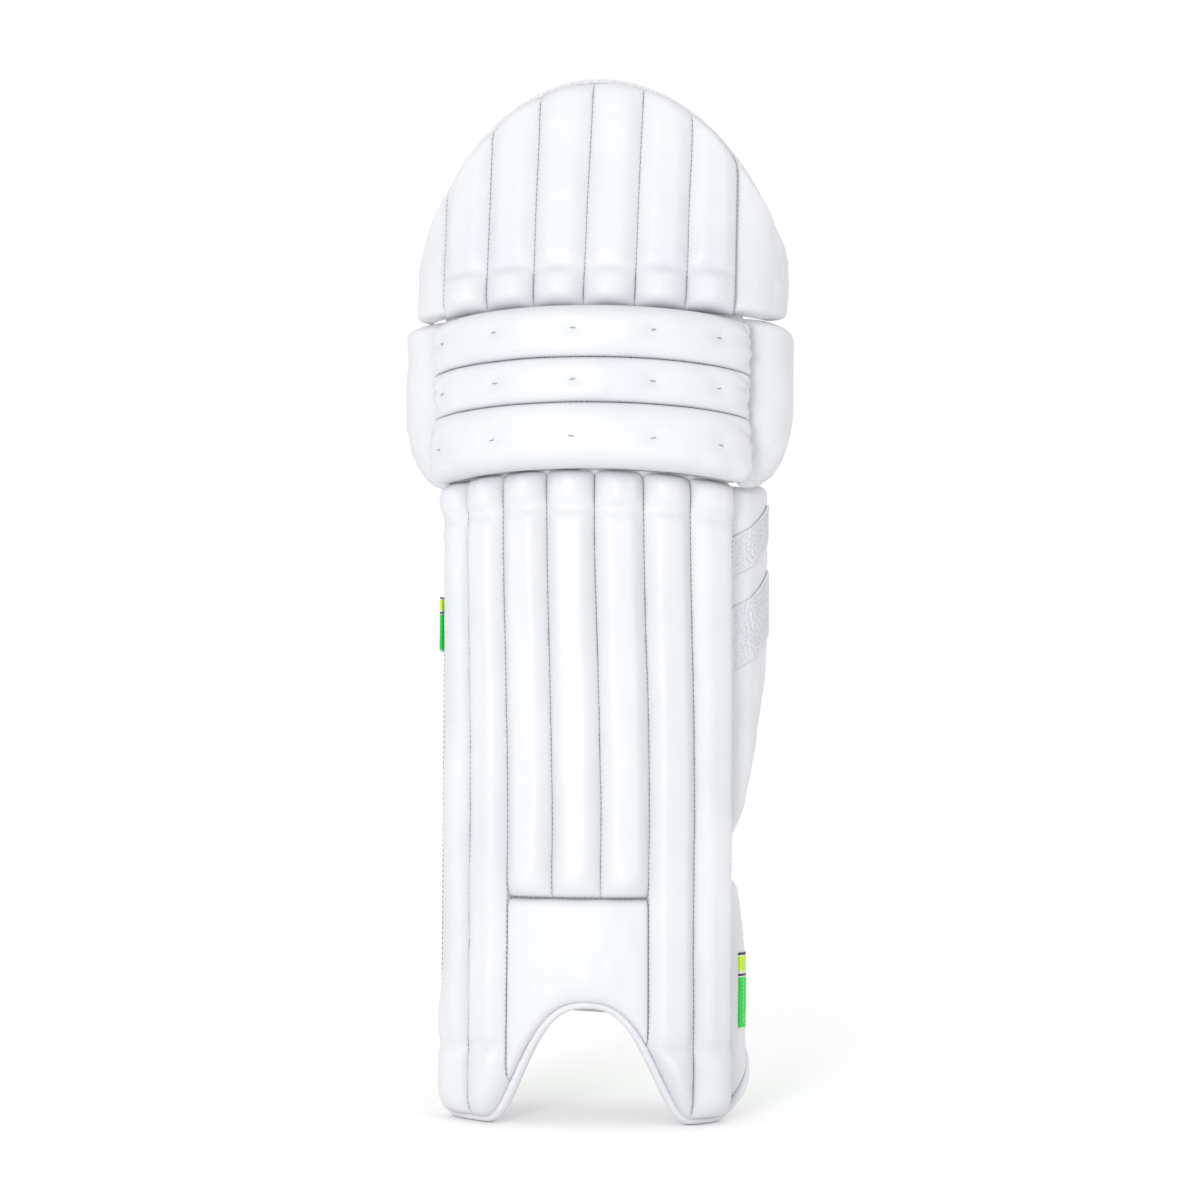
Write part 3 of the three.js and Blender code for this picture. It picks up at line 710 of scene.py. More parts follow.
def build_shin():
    cover = Shape()
    for i in range(7):
        s0 = i * SHIN_PITCH - SHIN_EDGE
        low = (lambda s: np.full_like(s, INSTEP_TOP + 0.4)) if is_short(i) else foot
        rows = 150 if is_short(i) else 210
        channel(SHIN, s0, s0 + SHIN_PITCH, low, shin_top, shin_rise(i), rows, shin_wander, cover)
    stand_for(cover.build("shin_face_cover_sewn", [LEATHER]), "shin_face_cover")

    u, t = steps(60, 0.3)[None, :], steps(60, 0.4)[:, None]
    s = -MIDDLE + 0.5 + (2 * MIDDLE - 1) * u
    z0, z1 = foot(s), np.full_like(s, INSTEP_TOP - 0.4)
    z = z0 + (z1 - z0) * t
    near = np.minimum(u, 1 - u) * 2 * MIDDLE
    full = dome(near, 9) * np.minimum(dome(z1 - z, 8), dome(z - z0, 7))
    dents = 0.9 * noise(s / 26, z / 30, 50) + 0.4 * noise(s / 9, z / 12, 51)
    out = 1.0 + 5.2 * dome(z - z0, 16) * dome(z1 - z, 7) + (2.4 + dents) * full
    seam = np.exp(-np.minimum(near, z1 - z) / 2.5)
    sewn("instep_panel", SHIN, s + shin_wander(s, z), z, out, 0.25, seam, 0.3)

    # Stitches in every seam, down to the foot or to the instep panel, and along that panel's top.
    for i in range(8):
        s = i * SHIN_PITCH - SHIN_EDGE
        low, high = float(foot(s)), float(shin_top(s))
        z = np.linspace(171, high - 2, 160) if i in (3, 4) else np.linspace(low + 4, high - 2, 240)
        at = s + shin_wander(np.full_like(z, s), z)
        shift = 0 if 0 < i < 7 else -0.6 * np.sign(s)
        line = placed(SHIN, at + shift, 1.3 + valley(z - low, high - z), z)
        stitch("shin").dashes(line, lateral(side_curve, at), 3.9, 2.5, 0.27)
    sew("shin", SHIN, np.linspace(-MIDDLE + 2, MIDDLE - 2, 90), 1.5, INSTEP_TOP, 4.2, 2.6, 0.27)


# ------------------------------------------------------------------------------------ knee rolls and ears
# Each roll's name, lower seam, height and depth, and where its tufts are along it.
ROLLS = (("lower", 487.0, 46.0, 35.0), ("middle", 533.4, 33.0, 31.0), ("upper", 566.8, 38.2, 33.0))
TUFTS = (-103, -55, -3, 47, 92)


def droop(s):
    return -BOW * (s / KNEE_HALF) ** 2


def roll_taper(s):
    """The rolls thin to nothing at their ends."""
    return np.maximum(0, 1 - (np.abs(s) / (KNEE_HALF + 0.8)) ** 4.2) ** 0.5


def roll_ground(s):
    """How far the seam between two rolls stands off the backing."""
    return 23 * roll_taper(s)


def roll_grid(number, inset):
    """The face of a knee roll, from its lower seam to its upper one, or its stuffing an inset inside it."""
    _, base, height, depth = ROLLS[number]
    u, t = steps(150, 0.25)[None, :], steps(30, 0.35)[:, None]
    s = -KNEE_HALF + 2 * KNEE_HALF * u
    middle = base + height / 2
    from_end = KNEE_HALF - np.abs(s)
    swell = np.sin(PI * t) ** 0.78
    turn = np.cos(PI * t)
    z = middle - height / 2 * np.sign(turn) * np.abs(turn) ** 0.66 + droop(s)
    # The outer corners of the lowest and the highest roll are rounded, and both swell past their seams.
    corner = 1 - dome(from_end, 15 if number == 0 else 10)
    if number == 0:
        z = z + 9 * corner * (1 - t) - 6.5 * swell * (1 - t) ** 1.5 * (1 - corner)
    if number == 2:
        z = z - 4 * corner * t + 4.5 * swell * t**1.5 * (1 - corner)
    joined = (smooth(t, 0.3, 0.7), 1 + 0 * t, 1 - smooth(t, 0.3, 0.7))[number]
    ground = roll_ground(s) * joined
    out = 0.6 + ground + (depth * roll_taper(s) - ground) * swell
    tuft_z = middle + (1.5 if number == 2 else 0) + droop(s)
    for x in TUFTS:
        away = np.hypot((s - x) / 1.5, z - tuft_z)
        out = out - 3.0 * np.exp(-((away / 4.5) ** 2)) - 1.5 * np.exp(-away / 11)
    fold = noise(np.arctan2(z - tuft_z, from_end + 12) * 7, from_end / 60, 60 + number)
    out = out + 3.8 * fold * np.exp(-from_end / 24) * swell * np.clip(from_end / 6, 0, 1)
    seam = np.minimum(t, 1 - t) * height * 1.3
    out = out + 1.7 * noise(s / 11, seam / 16, 70 + number) * np.exp(-seam / 9) * swell
    if number == 0:
        under = np.exp(-np.maximum(0, z - base - droop(s)) / 10)
        out = out + 2.6 * noise(s / 13 + 0.4 * t, 0.5 + t, 77) * under * swell
    out = out + 1.1 * noise(s / 34, t * 2 + number * 4, 80) * swell
    if inset:
        middle = middle + droop(s)
        z = middle + (z - middle) * (1 - 2 * inset / height)
    return s, z, np.maximum(out - inset, 0.45 + inset * 0.1), tuft_z, seam


def build_rolls():
    for number, (name, base, height, _) in enumerate(ROLLS):
        s, z, out, tuft_z, seam = roll_grid(number, 0)
        sewn(f"knee_roll_{name}_cover", KNEE, s, z, out, 0.3, np.exp(-seam / 2.5), 0.75)
        core_s, core_z, core_out = (values[::3, ::3] for values in roll_grid(number, 2.2)[:3])
        sewn(f"knee_roll_{name}_core", KNEE, core_s * 0.98, core_z, core_out, 0.4, 0.0, 0.7, *WADDING)
        for k, x in enumerate(TUFTS):
            at = np.array([x - 2.6, x, x + 2.6])
            column = int(np.argmin(np.abs(s[0] - x)))
            row = int(np.argmin(np.abs((z - tuft_z)[:, column])))
            tilt = np.array([-0.8, 0, 0.8]) * (1 if (k + number) % 2 else -0.4)
            sew("knee", KNEE, at, out[row, column] + 0.35, z[row, column] + tilt, 4.8, 4.6, 0.5, start=0.52)
        at = np.linspace(-KNEE_HALF + 3, KNEE_HALF - 3, 160)
        lower = 1.3 + roll_ground(at) * (number > 0)
        sew("knee", KNEE, at, lower, base + (0.4 if number == 0 else -0.1) + droop(at))
        if number == 2:
            sew("knee", KNEE, at, 1.3, base + height + 0.1 + droop(at))


EAR_REACH = 79.2


def build_ears():
    for side, name in ((-1, "inner"), (1, "outer")):
        u, t = steps(60, 0.5)[None, :], steps(60, 0.5)[:, None]
        run = KNEE_HALF + 0.35 + EAR_REACH * u
        back_from = np.maximum(0, knee_curve(run, 0.0)[1] - 42) ** 2
        z0 = 474.5 + 0.0085 * back_from + 5 * np.exp(-u * 14)
        z1 = 603.6 - 0.0045 * back_from
        z = z0 + (z1 - z0) * t
        low, high, front = z - z0, z1 - z, EAR_REACH * u
        edge = dome(low, 52, 1.8) * dome(high, 8, 2.3) * dome(EAR_REACH * (1 - u), 16)
        lead = 0.42 + 0.58 * dome(front, 17)
        # Plumper in front of the strap's tab, level with the tape's ground behind it.
        plump = 9.8 * np.sin(PI * u) ** 0.7 + 5.5 * bell(run, KNEE_HALF + 26, 19)
        out = -6.5 + (9.5 + plump) * edge * lead
        corner = np.hypot(low + 4, front * 0.5)
        crease = noise(np.arctan2(low, front + 6) * 9, corner / 40, 90 + side)
        out = out + 1.9 * crease * np.exp(-corner / 26) * edge
        before_tab = 1 - smooth(run, KNEE_HALF + 34, KNEE_HALF + 44)
        out = out + 1.2 * noise(run / 20, z / 24, 95 + side) * edge * before_tab
        gathers = noise(run / 7, low / 12, 97) * np.exp(-low / 9)
        out = out + 0.9 * (gathers + noise(run / 9, high / 12, 98) * np.exp(-high / 9)) * edge
        if side < 0:
            under_tab = smooth(run, KNEE_HALF + 38, KNEE_HALF + 46) * (np.abs(z - KNEE_STRAP_Z) < 30)
            out = out * (1 - under_tab) + np.minimum(out, ear_face(run)) * under_tab
        near = np.minimum(np.minimum(low, high), front)
        sewn(f"knee_ear_{name}", KNEE, side * run, z, out, -7.8, np.exp(-near / 2.4), 0.7)
        sew("knee", KNEE, side * (KNEE_HALF + 0.2), 2.0, np.linspace(488, 592, 80))
        for row in (4, -5):
            at = side * run[0, 2:]
            sew("knee", KNEE, at, out[row, 2:] + 0.3, z[row, 2:], radius=0.24, surface=1)


# ------------------------------------------------------------------------------------ top flap
CROWN_X, CROWN_HALF, CROWN_HEIGHT = 6, 142, 178


def crown(x, inset, lower=0.0):
    """Height of the flap's elliptical outline, drawn in by an inset."""
    share = np.clip((x - CROWN_X) / (CROWN_HALF - inset), -1, 1)
    return (CROWN_HEIGHT - inset - lower) * np.sqrt(1 - share**2)


def crown_over(s, out, inset):
    return crown(flap_curve(s, out)[0], inset)


def wing_slope(y, start=400):
    """The wings' upper edge falls towards their rear."""
    return np.where(y > 60, start - (y - 60) * 300 / 70, 400)


def wing_lift(y):
    """Their lower edge lifts towards the rear."""
    return 0.0030 * np.maximum(0, y - 22) ** 2


def flap_wander(s, z):
    """The seams fan out a little towards the crown."""
    hold = 1 - np.abs(np.clip(s / FLAP_EDGE, -1, 1)) ** 6
    return hold * (3.2 * (z / 170) * (0.4 + 0.6 * (s > -10)) + 0.5 * noise(z / 40, s / 25, 13))


def flap_rise(index):
    """A flap channel's height: full at its foot, a waist above that, then the cane, and a soft upper end."""

    def rise(u, from_base, from_top, z, s):
        near = np.minimum(u, 1 - u) * FLAP_PITCH
        pillow = round_top(u)
        low = 1 - smooth(from_base, 22, 33)
        h = flat_top(u) * 0.88 * (1 - low) + pillow * 1.42 * low
        h = h * (1 - 0.40 * bell(from_base, 31 + 1.5 * math.sin(index * 1.7), 6))
        high = 1 - smooth(from_top, 10, 24)
        h = h * (1 - high) + pillow * 0.9 * high
        closing = dome(from_base, 10, 2.4) * dome(from_top, 9)
        folds = lumps(u, z, index, 0.7, 34, 121) + puckers(near, z, index + 131)
        return np.maximum(0, 7.2 * h * closing + (folds + crush(u, s, from_base, 7, 17)) * closing)

    return rise


def build_flap():
    cover = Shape()
    base = lambda s: np.full_like(s, -0.6)
    top = lambda s: crown_over(s, -2.0, SEWN_CLEAR + 0.6)
    for i in range(6):
        s0 = i * FLAP_PITCH - FLAP_EDGE
        channel(TOP_FLAP, s0, s0 + FLAP_PITCH, base, top, flap_rise(i), 110, flap_wander, cover)
    stand_for(cover.build("top_flap_face_cover_sewn", [LEATHER]), "top_flap_face_cover")
    for i in range(7):
        s = i * FLAP_PITCH - FLAP_EDGE
        high = float(top(s)) - 3
        z = np.linspace(6, high, 120)
        at = s + flap_wander(np.full_like(z, s), z)
        sew("top_flap", TOP_FLAP, at, 1.3 + valley(z + 0.6, high + 3 - z), z, 3.9, 2.5, 0.27)

    # The wings close the flap round the thigh.
    for side, name, length in ((-1, "inner", 48.0 - 1.2), (1, "outer", 68.0 - 1.2)):
        u, t = steps(44, 0.4)[None, :], steps(70, 0.4)[:, None]
        run = FLAP_EDGE + 0.7 + length * u
        x, y = flap_curve(side * run, 0.0)
        z0 = 1.2 + wing_lift(y)
        z1 = np.maximum(np.minimum(crown(x, 0.4), wing_slope(y)) - 2.4, z0 + 2)
        z = z0 + (z1 - z0) * t
        low, high, front = z - z0, z1 - z, length * u
        edge = dome(low, 6, 2.3) * dome(high, 9) * dome(length * (1 - u), 8)
        out = -4.6 + (10.3 + 1.6 * np.sin(PI * u) ** 0.8) * edge * (0.45 + 0.55 * dome(front, 9))
        out = out + (1.1 * noise(run / 19, z / 27, 140 + side) + 0.6 * noise(run / 8, z / 9, 141)) * edge
        near = np.minimum(np.minimum(low, high), front)
        sewn(f"top_flap_wing_{name}", TOP_FLAP, side * run, z, out, -5.8, np.exp(-near / 2.4), 0.6)

    # An overlocked binding follows the crown and the wings' edges: a soft cord with close whip stitches.
    s = np.linspace(-(FLAP_EDGE + 44), FLAP_EDGE + 61, 1600)
    x, y = flap_curve(s, -4.6 + 4.4 * smooth(np.abs(s) - FLAP_EDGE, 0, 12))
    z = np.maximum(np.minimum(crown(x, 3.2, 0.2), wing_slope(y, 397)), 8 + wing_lift(y))
    line = np.stack([x, y, z], -1)
    gone = travelled(line)
    even = np.linspace(0, gone[-1], 1500)
    line = smoothed(resampled(line, gone, even), 31)
    whip = 0.20 * np.sin(2 * PI * even / 2.1) + 0.22 * noise(even / 0.9, 0, 9)
    outward = flap_frame(lateral(flap_curve, np.interp(even, gone, s))) - flap_frame(np.zeros(3))
    binding = Shape()
    binding.tube(flap_frame(line), (2.9 + whip) / 1000, 14, 0.15, 1.55, outward)
    stand_for(binding.build("top_flap_binding_overlocked", [BOUND], 70), "top_flap_binding")


# ------------------------------------------------------------------------------------ outer wing
WING_BASE, WING_HEIGHT = 196, 274
# The wing's reach beyond its seam, at shares of its height.
WING_EDGE = (
    (0, 0.0), (20, 0.13), (33, 0.28), (47, 0.42), (64, 0.58), (77, 0.75), (82, 0.92), (80, 0.98), (75, 1),
)
WING_FRONT_Y = float(wing_curve(SHIN_EDGE + 3)[1])
# Two embossed panels: base, height, reach and the seed of their pattern.
GRIP_PANELS = (("upper", 408, 30, 74, 5), ("lower", 337, 48, 57, 6))
RIDGE_STEP, RIDGE_PITCH = 0.62, 3.4


def wing_length(z):
    lengths, shares = zip(*WING_EDGE)
    fine = np.linspace(0, 1, 201)
    edge = smoothed(np.interp(fine, shares, lengths), 15)
    return np.maximum(3.0, np.interp((z - WING_BASE) / WING_HEIGHT, fine, edge))


def wing_top(s):
    """The wing's upper edge, close under the ear."""
    return 478 + 4 * smooth(wing_curve(s)[1], 70, 95)


def wing_slant(s):
    """The panels and their seams rise towards the rear."""
    return 0.62 * (wing_curve(s)[1] - WING_FRONT_Y)


def wing_out(s, z):
    """The wing's padded face: it swells away from its seam and falls to its edges."""
    front, rear = s - SHIN_EDGE - 0.6, SHIN_EDGE + wing_length(z) - s
    swell = smooth(s, SHIN_EDGE, SHIN_EDGE + 22)
    edge = dome(rear + 0.01, 13) * dome(wing_top(s) - z, 9, 2.4) * dome(z - WING_BASE + 1, 14)
    body = 1.0 * noise(s / 24 + z / 90, z / 34 - s / 60, 160) + 0.6 * noise(s / 9, z / 13, 161)
    full = 6.2 + 7.0 * swell * (0.92 + 0.2 * np.sin(PI * np.clip(front / 75, 0, 1)))
    return -5.4 + (full + body * np.clip(front / 10, 0, 1)) * edge


def labyrinth(rows, columns, seed):
    """A maze of wavy ridges from 0 to 1: noise kept to one wavelength, then sharpened."""
    field = np.random.RandomState(seed).normal(size=(rows, columns))
    fy, fx = np.fft.fftfreq(rows, RIDGE_STEP)[:, None], np.fft.fftfreq(columns, RIDGE_STEP)[None, :]
    band = np.exp(-(((np.hypot(fx, fy) - 1 / RIDGE_PITCH) * RIDGE_PITCH / 0.16) ** 2))
    field = np.real(np.fft.ifft2(np.fft.fft2(field) * band))
    return 0.5 + 0.5 * np.tanh(field / field.std() * 1.6)


def build_wing():
    u, t = steps(56, 0.5)[None, :], steps(120, 0.35)[:, None]
    length = wing_length(WING_BASE + 0.4 + 273.2 * t)
    s = SHIN_EDGE + 0.7 + (length - 0.9) * u
    z = WING_BASE + 0.4 + (wing_top(s) - WING_BASE - 0.8) * t
    out = wing_out(s, z)
    # Two slanted seams frame the smooth band between the panels, and one runs on below them.
    slant = z - wing_slant(s)
    for level in (337, 385, 408, 438):
        out = out - 0.9 * bell(slant, level, 1.6) * smooth(s, SHIN_EDGE + 1, SHIN_EDGE + 5)
    out = np.maximum(out, -5.2)
    near = np.minimum((wing_length(z) - 0.9) * u, wing_top(s) - z)
    sewn("outer_wing_cover", OUTER_WING, s, z, out, np.minimum(-4.1, out - 0.4), np.exp(-near / 2.4), 0.6,
         also=("outer_wing_foam",))

    for name, base, height, reach, seed in GRIP_PANELS:
        reach = reach - 3
        columns, rows = int(reach / RIDGE_STEP), int(height / RIDGE_STEP)
        a, v = np.linspace(0, 1, columns)[None, :], np.linspace(0, 1, rows)[:, None]
        s = SHIN_EDGE + 3 + reach * a
        z = np.minimum(base + wing_slant(s) + height * v, 466)
        inner = np.minimum(np.minimum(a, 1 - a) * reach, np.minimum(v, 1 - v) * height)
        ridges = labyrinth(rows, columns, seed)
        field = smooth(inner, 2.2, 3.6)
        lift = 0.5 + 1.25 * ridges * field + 1.0 * bell(inner, 1.2, 0.9)
        face = wing_out(s, z)
        # The seam value, high between the ridges, paints shade and some dirt into the embossing's grooves.
        sewn(f"wing_grip_panel_{name}", OUTER_WING, s, z, face + lift, face - 0.2, 0.55 * (1 - ridges) * field,
             None, "embossed", "textured_face", EMBOSSED, 75)

    u, t = steps(30, 0.3)[None, :], steps(60, 0.3)[:, None]
    z = 198 + 270 * t + 0 * u
    s = SHIN_EDGE + 1.2 + (wing_length(z) - 2.4) * u
    quilt = 0.25 * noise(s / 16, z / 18, 165)
    piece = sewn("outer_wing_lining", OUTER_WING, s, z, -4.5, -5.9 + quilt, 0.0, None, *CLOTH)


# ------------------------------------------------------------------------------------ canes
def build_canes():
    """Flat split canes, one in each channel, bent as their channels are."""
    for i in range(7):
        middle = (i + 0.5) * SHIN_PITCH - SHIN_EDGE
        low = 176.0 if is_short(i) else float(foot(middle)) + 26
        cane(f"shin_cane_{i + 1}", SHIN, middle, low, 464.0, shin_wander, 6.6)
    for i in range(6):
        middle = (i + 0.5) * FLAP_PITCH - FLAP_EDGE
        outer = abs(float(flap_curve(middle)[0]) - CROWN_X) + 12
        high = float(crown(CROWN_X + outer, 0)) - 18
        cane(f"top_flap_cane_{i + 1}", TOP_FLAP, middle, 9.0, high, flap_wander, 6.2)


def cane(node, section, middle, low, high, wander, thick):
    half = 8.2
    a, t = np.linspace(-1, 1, 9)[None, :], np.linspace(0, 1, 41)[:, None]
    z = low + (high - low) * t + 0 * a
    round_end = dome(np.minimum(z - low, high - z) + 0.3, 5)
    s = middle + wander(np.full_like(z, middle), z) + half * a * (0.75 + 0.25 * round_end)
    crowned = 0.6 + thick * (1 - 0.18 * np.abs(a) ** 4)
    sewn(node, section, s, z, crowned, 0.5, 0.0, None, "split", "cane", CANE)


# ------------------------------------------------------------------------------------ side flaps and piping
def build_side_flaps():
    for side, name, top, rear_top, rows in ((-1, "inner", 467, 422, 120), (1, "outer", 182, 156, 70)):
        end = SIDE_END[side] - SEWN_CLEAR
        u, t = steps(44, 0.45)[None, :], steps(rows, 0.35)[:, None]
        s = SHIN_EDGE + 0.7 + (end - SHIN_EDGE - 0.7) * u
        y, y_end = side_curve(side * s)[1], float(side_curve(side * end)[1])
        fore = top + (10 if side < 0 else 0) * (1 - smooth(y, 52, y_end - 18))
        rear = top + (rear_top - top) * (y - y_end + 22) / 23
        high = smoothed(np.where(y < y_end - 22, fore, rear)[0], 13)[None, :] - 0.5
        z0 = foot(s)
        z = z0 + (high - z0) * t
        front = s - SHIN_EDGE - 0.7
        edge = dome(z - z0, 9) * dome(high - z, 9) * dome(end - s, 8)
        body = 0.4 * noise(s / 18, z / 34, 170 + side) + 0.3 * noise(s / 8, z / 11, 171)
        out = -7.6 + (6.2 + 1.1 * np.sin(PI * u) + body) * edge * (0.55 + 0.45 * dome(front, 10))
        stand = flare(side * s, z)
        near = np.minimum(np.minimum(z - z0, high - z), front)
        sewn(f"{name}_side_flap", SHIN, side * s, z, out + stand, stand - 8.8, np.exp(-near / 2.4), 0.5)
        hem, within = 36, slice(4, -4)
        sew("shin", SHIN, side * s[0, hem], (out + stand)[within, hem] + 0.25, z[within, hem], 4.2, 2.7, 0.3,
            surface=1)


def build_bottom_binding():
    """A leather piping runs down the back edges and round the feet and the arch."""
    down = np.linspace(148, 62, 60)
    inner_back, outer_back = (
        np.stack([np.full_like(down, side * (SIDE_END[side] - PIPING)), down[::-side]], -1) for side in (-1, 1)
    )
    low = np.stack(inside_edge(np.linspace(-158, 158, 900), PIPING), -1)
    line = np.concatenate([inner_back, low, outer_back])
    gone = travelled(line)
    even = np.linspace(0, gone[-1], 1100)
    s, z = smoothed(resampled(line, gone, even), 41).T
    under_strap = 2.9 * (1 - smooth(np.abs(z - ANKLE_STRAP_Z), 30, 40)) * (np.abs(s) > 140)
    path = placed(SHIN, s, -4.2 + flare(s, z) - under_strap, z)
    ripple = 0.10 * noise(even / 4.0, 0, 180) + 0.05 * np.sin(2 * PI * even / 4.2)
    shape = Shape()
    shape.tube(path, (3.3 + ripple) / 1000, 16, 0.1, 1.6, leaning(lateral(side_curve, s), LEAN))
    shape.points[0][:, 2] = np.maximum(shape.points[0][:, 2], 0.0002)
    stand_for(shape.build("bottom_binding_piped", [BOUND], 70), "bottom_binding")
    # The seam that holds the piping, just inside it.
    s, z = inside_edge(np.linspace(-150, 150, 700), 7.6)
    sew("shin", SHIN, s, -1.2 + flare(s, z), z, 3.6, 2.2, 0.3)


# ------------------------------------------------------------------------------------ inner side
LINING_FACE, LINING_BACK = -8.45, -9.8


def build_linings():
    """Each lining is a sheet cut to its section's outline, sewn down over its backing."""
    for name, section, half, low, high in (
        ("shin", SHIN, SHIN_EDGE - 0.6, foot, shin_top),
        ("knee", KNEE, KNEE_HALF - 0.4, lambda s: 485.4 + 0 * s, lambda s: 604.6 + 0 * s),
        ("top_flap", TOP_FLAP, FLAP_EDGE - 0.6, lambda s: 4.4 + 0 * s,
         lambda s: crown_over(s, -9.0, EDGE_CLEAR)),
    ):
        u, t = np.linspace(0, 1, 121)[None, :], np.linspace(0, 1, 121)[:, None]
        s = -half + 2 * half * u
        heights = high(s) - low(s) - 0.8
        z = low(s) + 0.4 + heights * t
        drape = 0.18 * noise(s / 13, z / 15, 200)
        piece = sewn(f"{name}_lining", section, s, z, LINING_FACE, LINING_BACK + drape, 0.0, None, *CLOTH)
        x, y = section[0](s, LINING_FACE)


def cushion(node, section, s0, s1, depth, base, top, rows, tufts=()):
    """A stuffed cushion on the lining, fuller in the middle, its cover gathered at both ends."""
    u, t = steps(40, 0.5)[None, :], steps(rows, 0.35)[:, None]
    s, z = s0 + (s1 - s0) * u, base + 0.3 + (top - base - 0.6) * t
    from_end = np.minimum(z - base, top - z)
    across = np.sin(PI * u) ** 0.55
    closing = dome(z - base, 14) * dome(top - z, 14)
    gathers = 0.5 * noise(s / 6, from_end / 20, 211) * np.exp(-from_end / 14)
    body = 0.6 * noise(s / 16, z / 30, 210) + gathers
    thick = 2.6 + (depth - 0.4) * across * (0.35 + 0.65 * closing) + body * across * closing
    for level in tufts:
        thick = thick - 4.0 * bell(z, level, 3.2) * across
    sides = np.maximum(0.3, dome(np.minimum(u, 1 - u) * (s1 - s0), 5))
    out = -10.4 - np.maximum(1.0, thick * np.maximum(0.25, closing) * sides)
    sewn(node, section, s, z, -10.35, out, 0.0, 0.7, "stuffed", "lining", CUSHION)


def build_cushions():
    cushion("shin_bolster_inner", SHIN, -104, -50, 15, 190, 466, 90, (259, 328, 397))
    cushion("shin_bolster_outer", SHIN, 50, 104, 15, 190, 466, 90, (259, 328, 397))
    cushion("instep_pad", SHIN, -40, 44, 7, 112, 176, 34)
    cushion("knee_cradle_inner", KNEE, -112, -52, 17, 496, 594, 44, (545,))
    cushion("knee_cradle_outer", KNEE, 52, 112, 17, 496, 594, 44, (545,))


# ------------------------------------------------------------------------------------ straps
STRAP, PATCH, GAP = 1.8, 1.0, 0.35
TAB_LIFT = 3 * GAP + PATCH
FLAP_GROUND = -1.5  # the side flaps' face, which the lower straps' ends lie on
WEBS = [WEB_WHITE, WEB_BLACK, WEB_YELLOW, WEB_GREEN]
BANDS = ((0.0, 1), (0.028, 0), (0.045, 2), (0.235, 0), (0.27, 1), (0.30, 0), (0.315, 3), (0.965, 0), (1.0, 0))


def catmull(points, t):
    """A uniform Catmull-Rom line through plan points, as three.js draws its SplineCurve."""
    points = np.asarray(points, float)
    p = (len(points) - 1) * t
    i = np.minimum(np.floor(p).astype(int), len(points) - 2)
    w = (p - i)[:, None]
    p0, p1 = points[np.maximum(i - 1, 0)], points[i]
    p2, p3 = points[i + 1], points[np.minimum(i + 2, len(points) - 1)]
    v0, v1 = (p2 - p0) / 2, (p3 - p1) / 2
    return (2 * p1 - 2 * p2 + v0 + v1) * w**3 + (-3 * p1 + 3 * p2 - 2 * v0 - v1) * w**2 + v0 * w + p1


def strip(node, line, normal, half, middle, both=False):
    """Webbing along a plan line: woven bars, a crowned face and round edges."""
    v, kind = [], []
    for (a, colour), (b, _) in zip(BANDS, BANDS[1:]):
        count = max(1, int((b - a) * 26))
        v += list(np.linspace(a, b, count, endpoint=False))
        kind += [colour] * count
    v = np.array(v + [1.0])[:, None]
    half = np.broadcast_to(half, len(line))[None, :]
    z = middle + half * (1 - 2 * v)
    soft = dome(np.minimum(v, 1 - v) * 2 * half + 0.25, 1.4)
    ripple = 0.12 * noise(np.arange(len(line))[None, :] / 5.0, z / 9, 230)

    def face(sign):
        offset = sign * (STRAP / 2 * (0.45 + 0.55 * soft)) + ripple
        x, y = (line[None, :, k] + normal[None, :, k] * offset for k in (0, 1))
        return pad_frame(np.stack([x, y, z], -1))

    shape = Shape()
    shape.slab(face(1), face(-1), 0.0, np.repeat(np.array(kind), len(line) - 1), both)
    stand_for(shape.build(f"{node}_webbing", WEBS, 60), node)


def fasten_stitches(body, section, s0, s1, out, z0, z1, sign):
    """A box of white stitches with a cross in it."""
    for run in ((s0, z0), (s1, z0), (s1, z1), (s0, z1), (s0, z0), (s1, z1)), ((s0, z1), (s1, z0)):
        for (a, b), (c, d) in zip(run, run[1:]):
            at = np.linspace(a, c, 30)
            sew(body, section, at, out(at), np.linspace(b, d, 30), 2.9, 2.0, 0.28, sign=sign, surface=1)


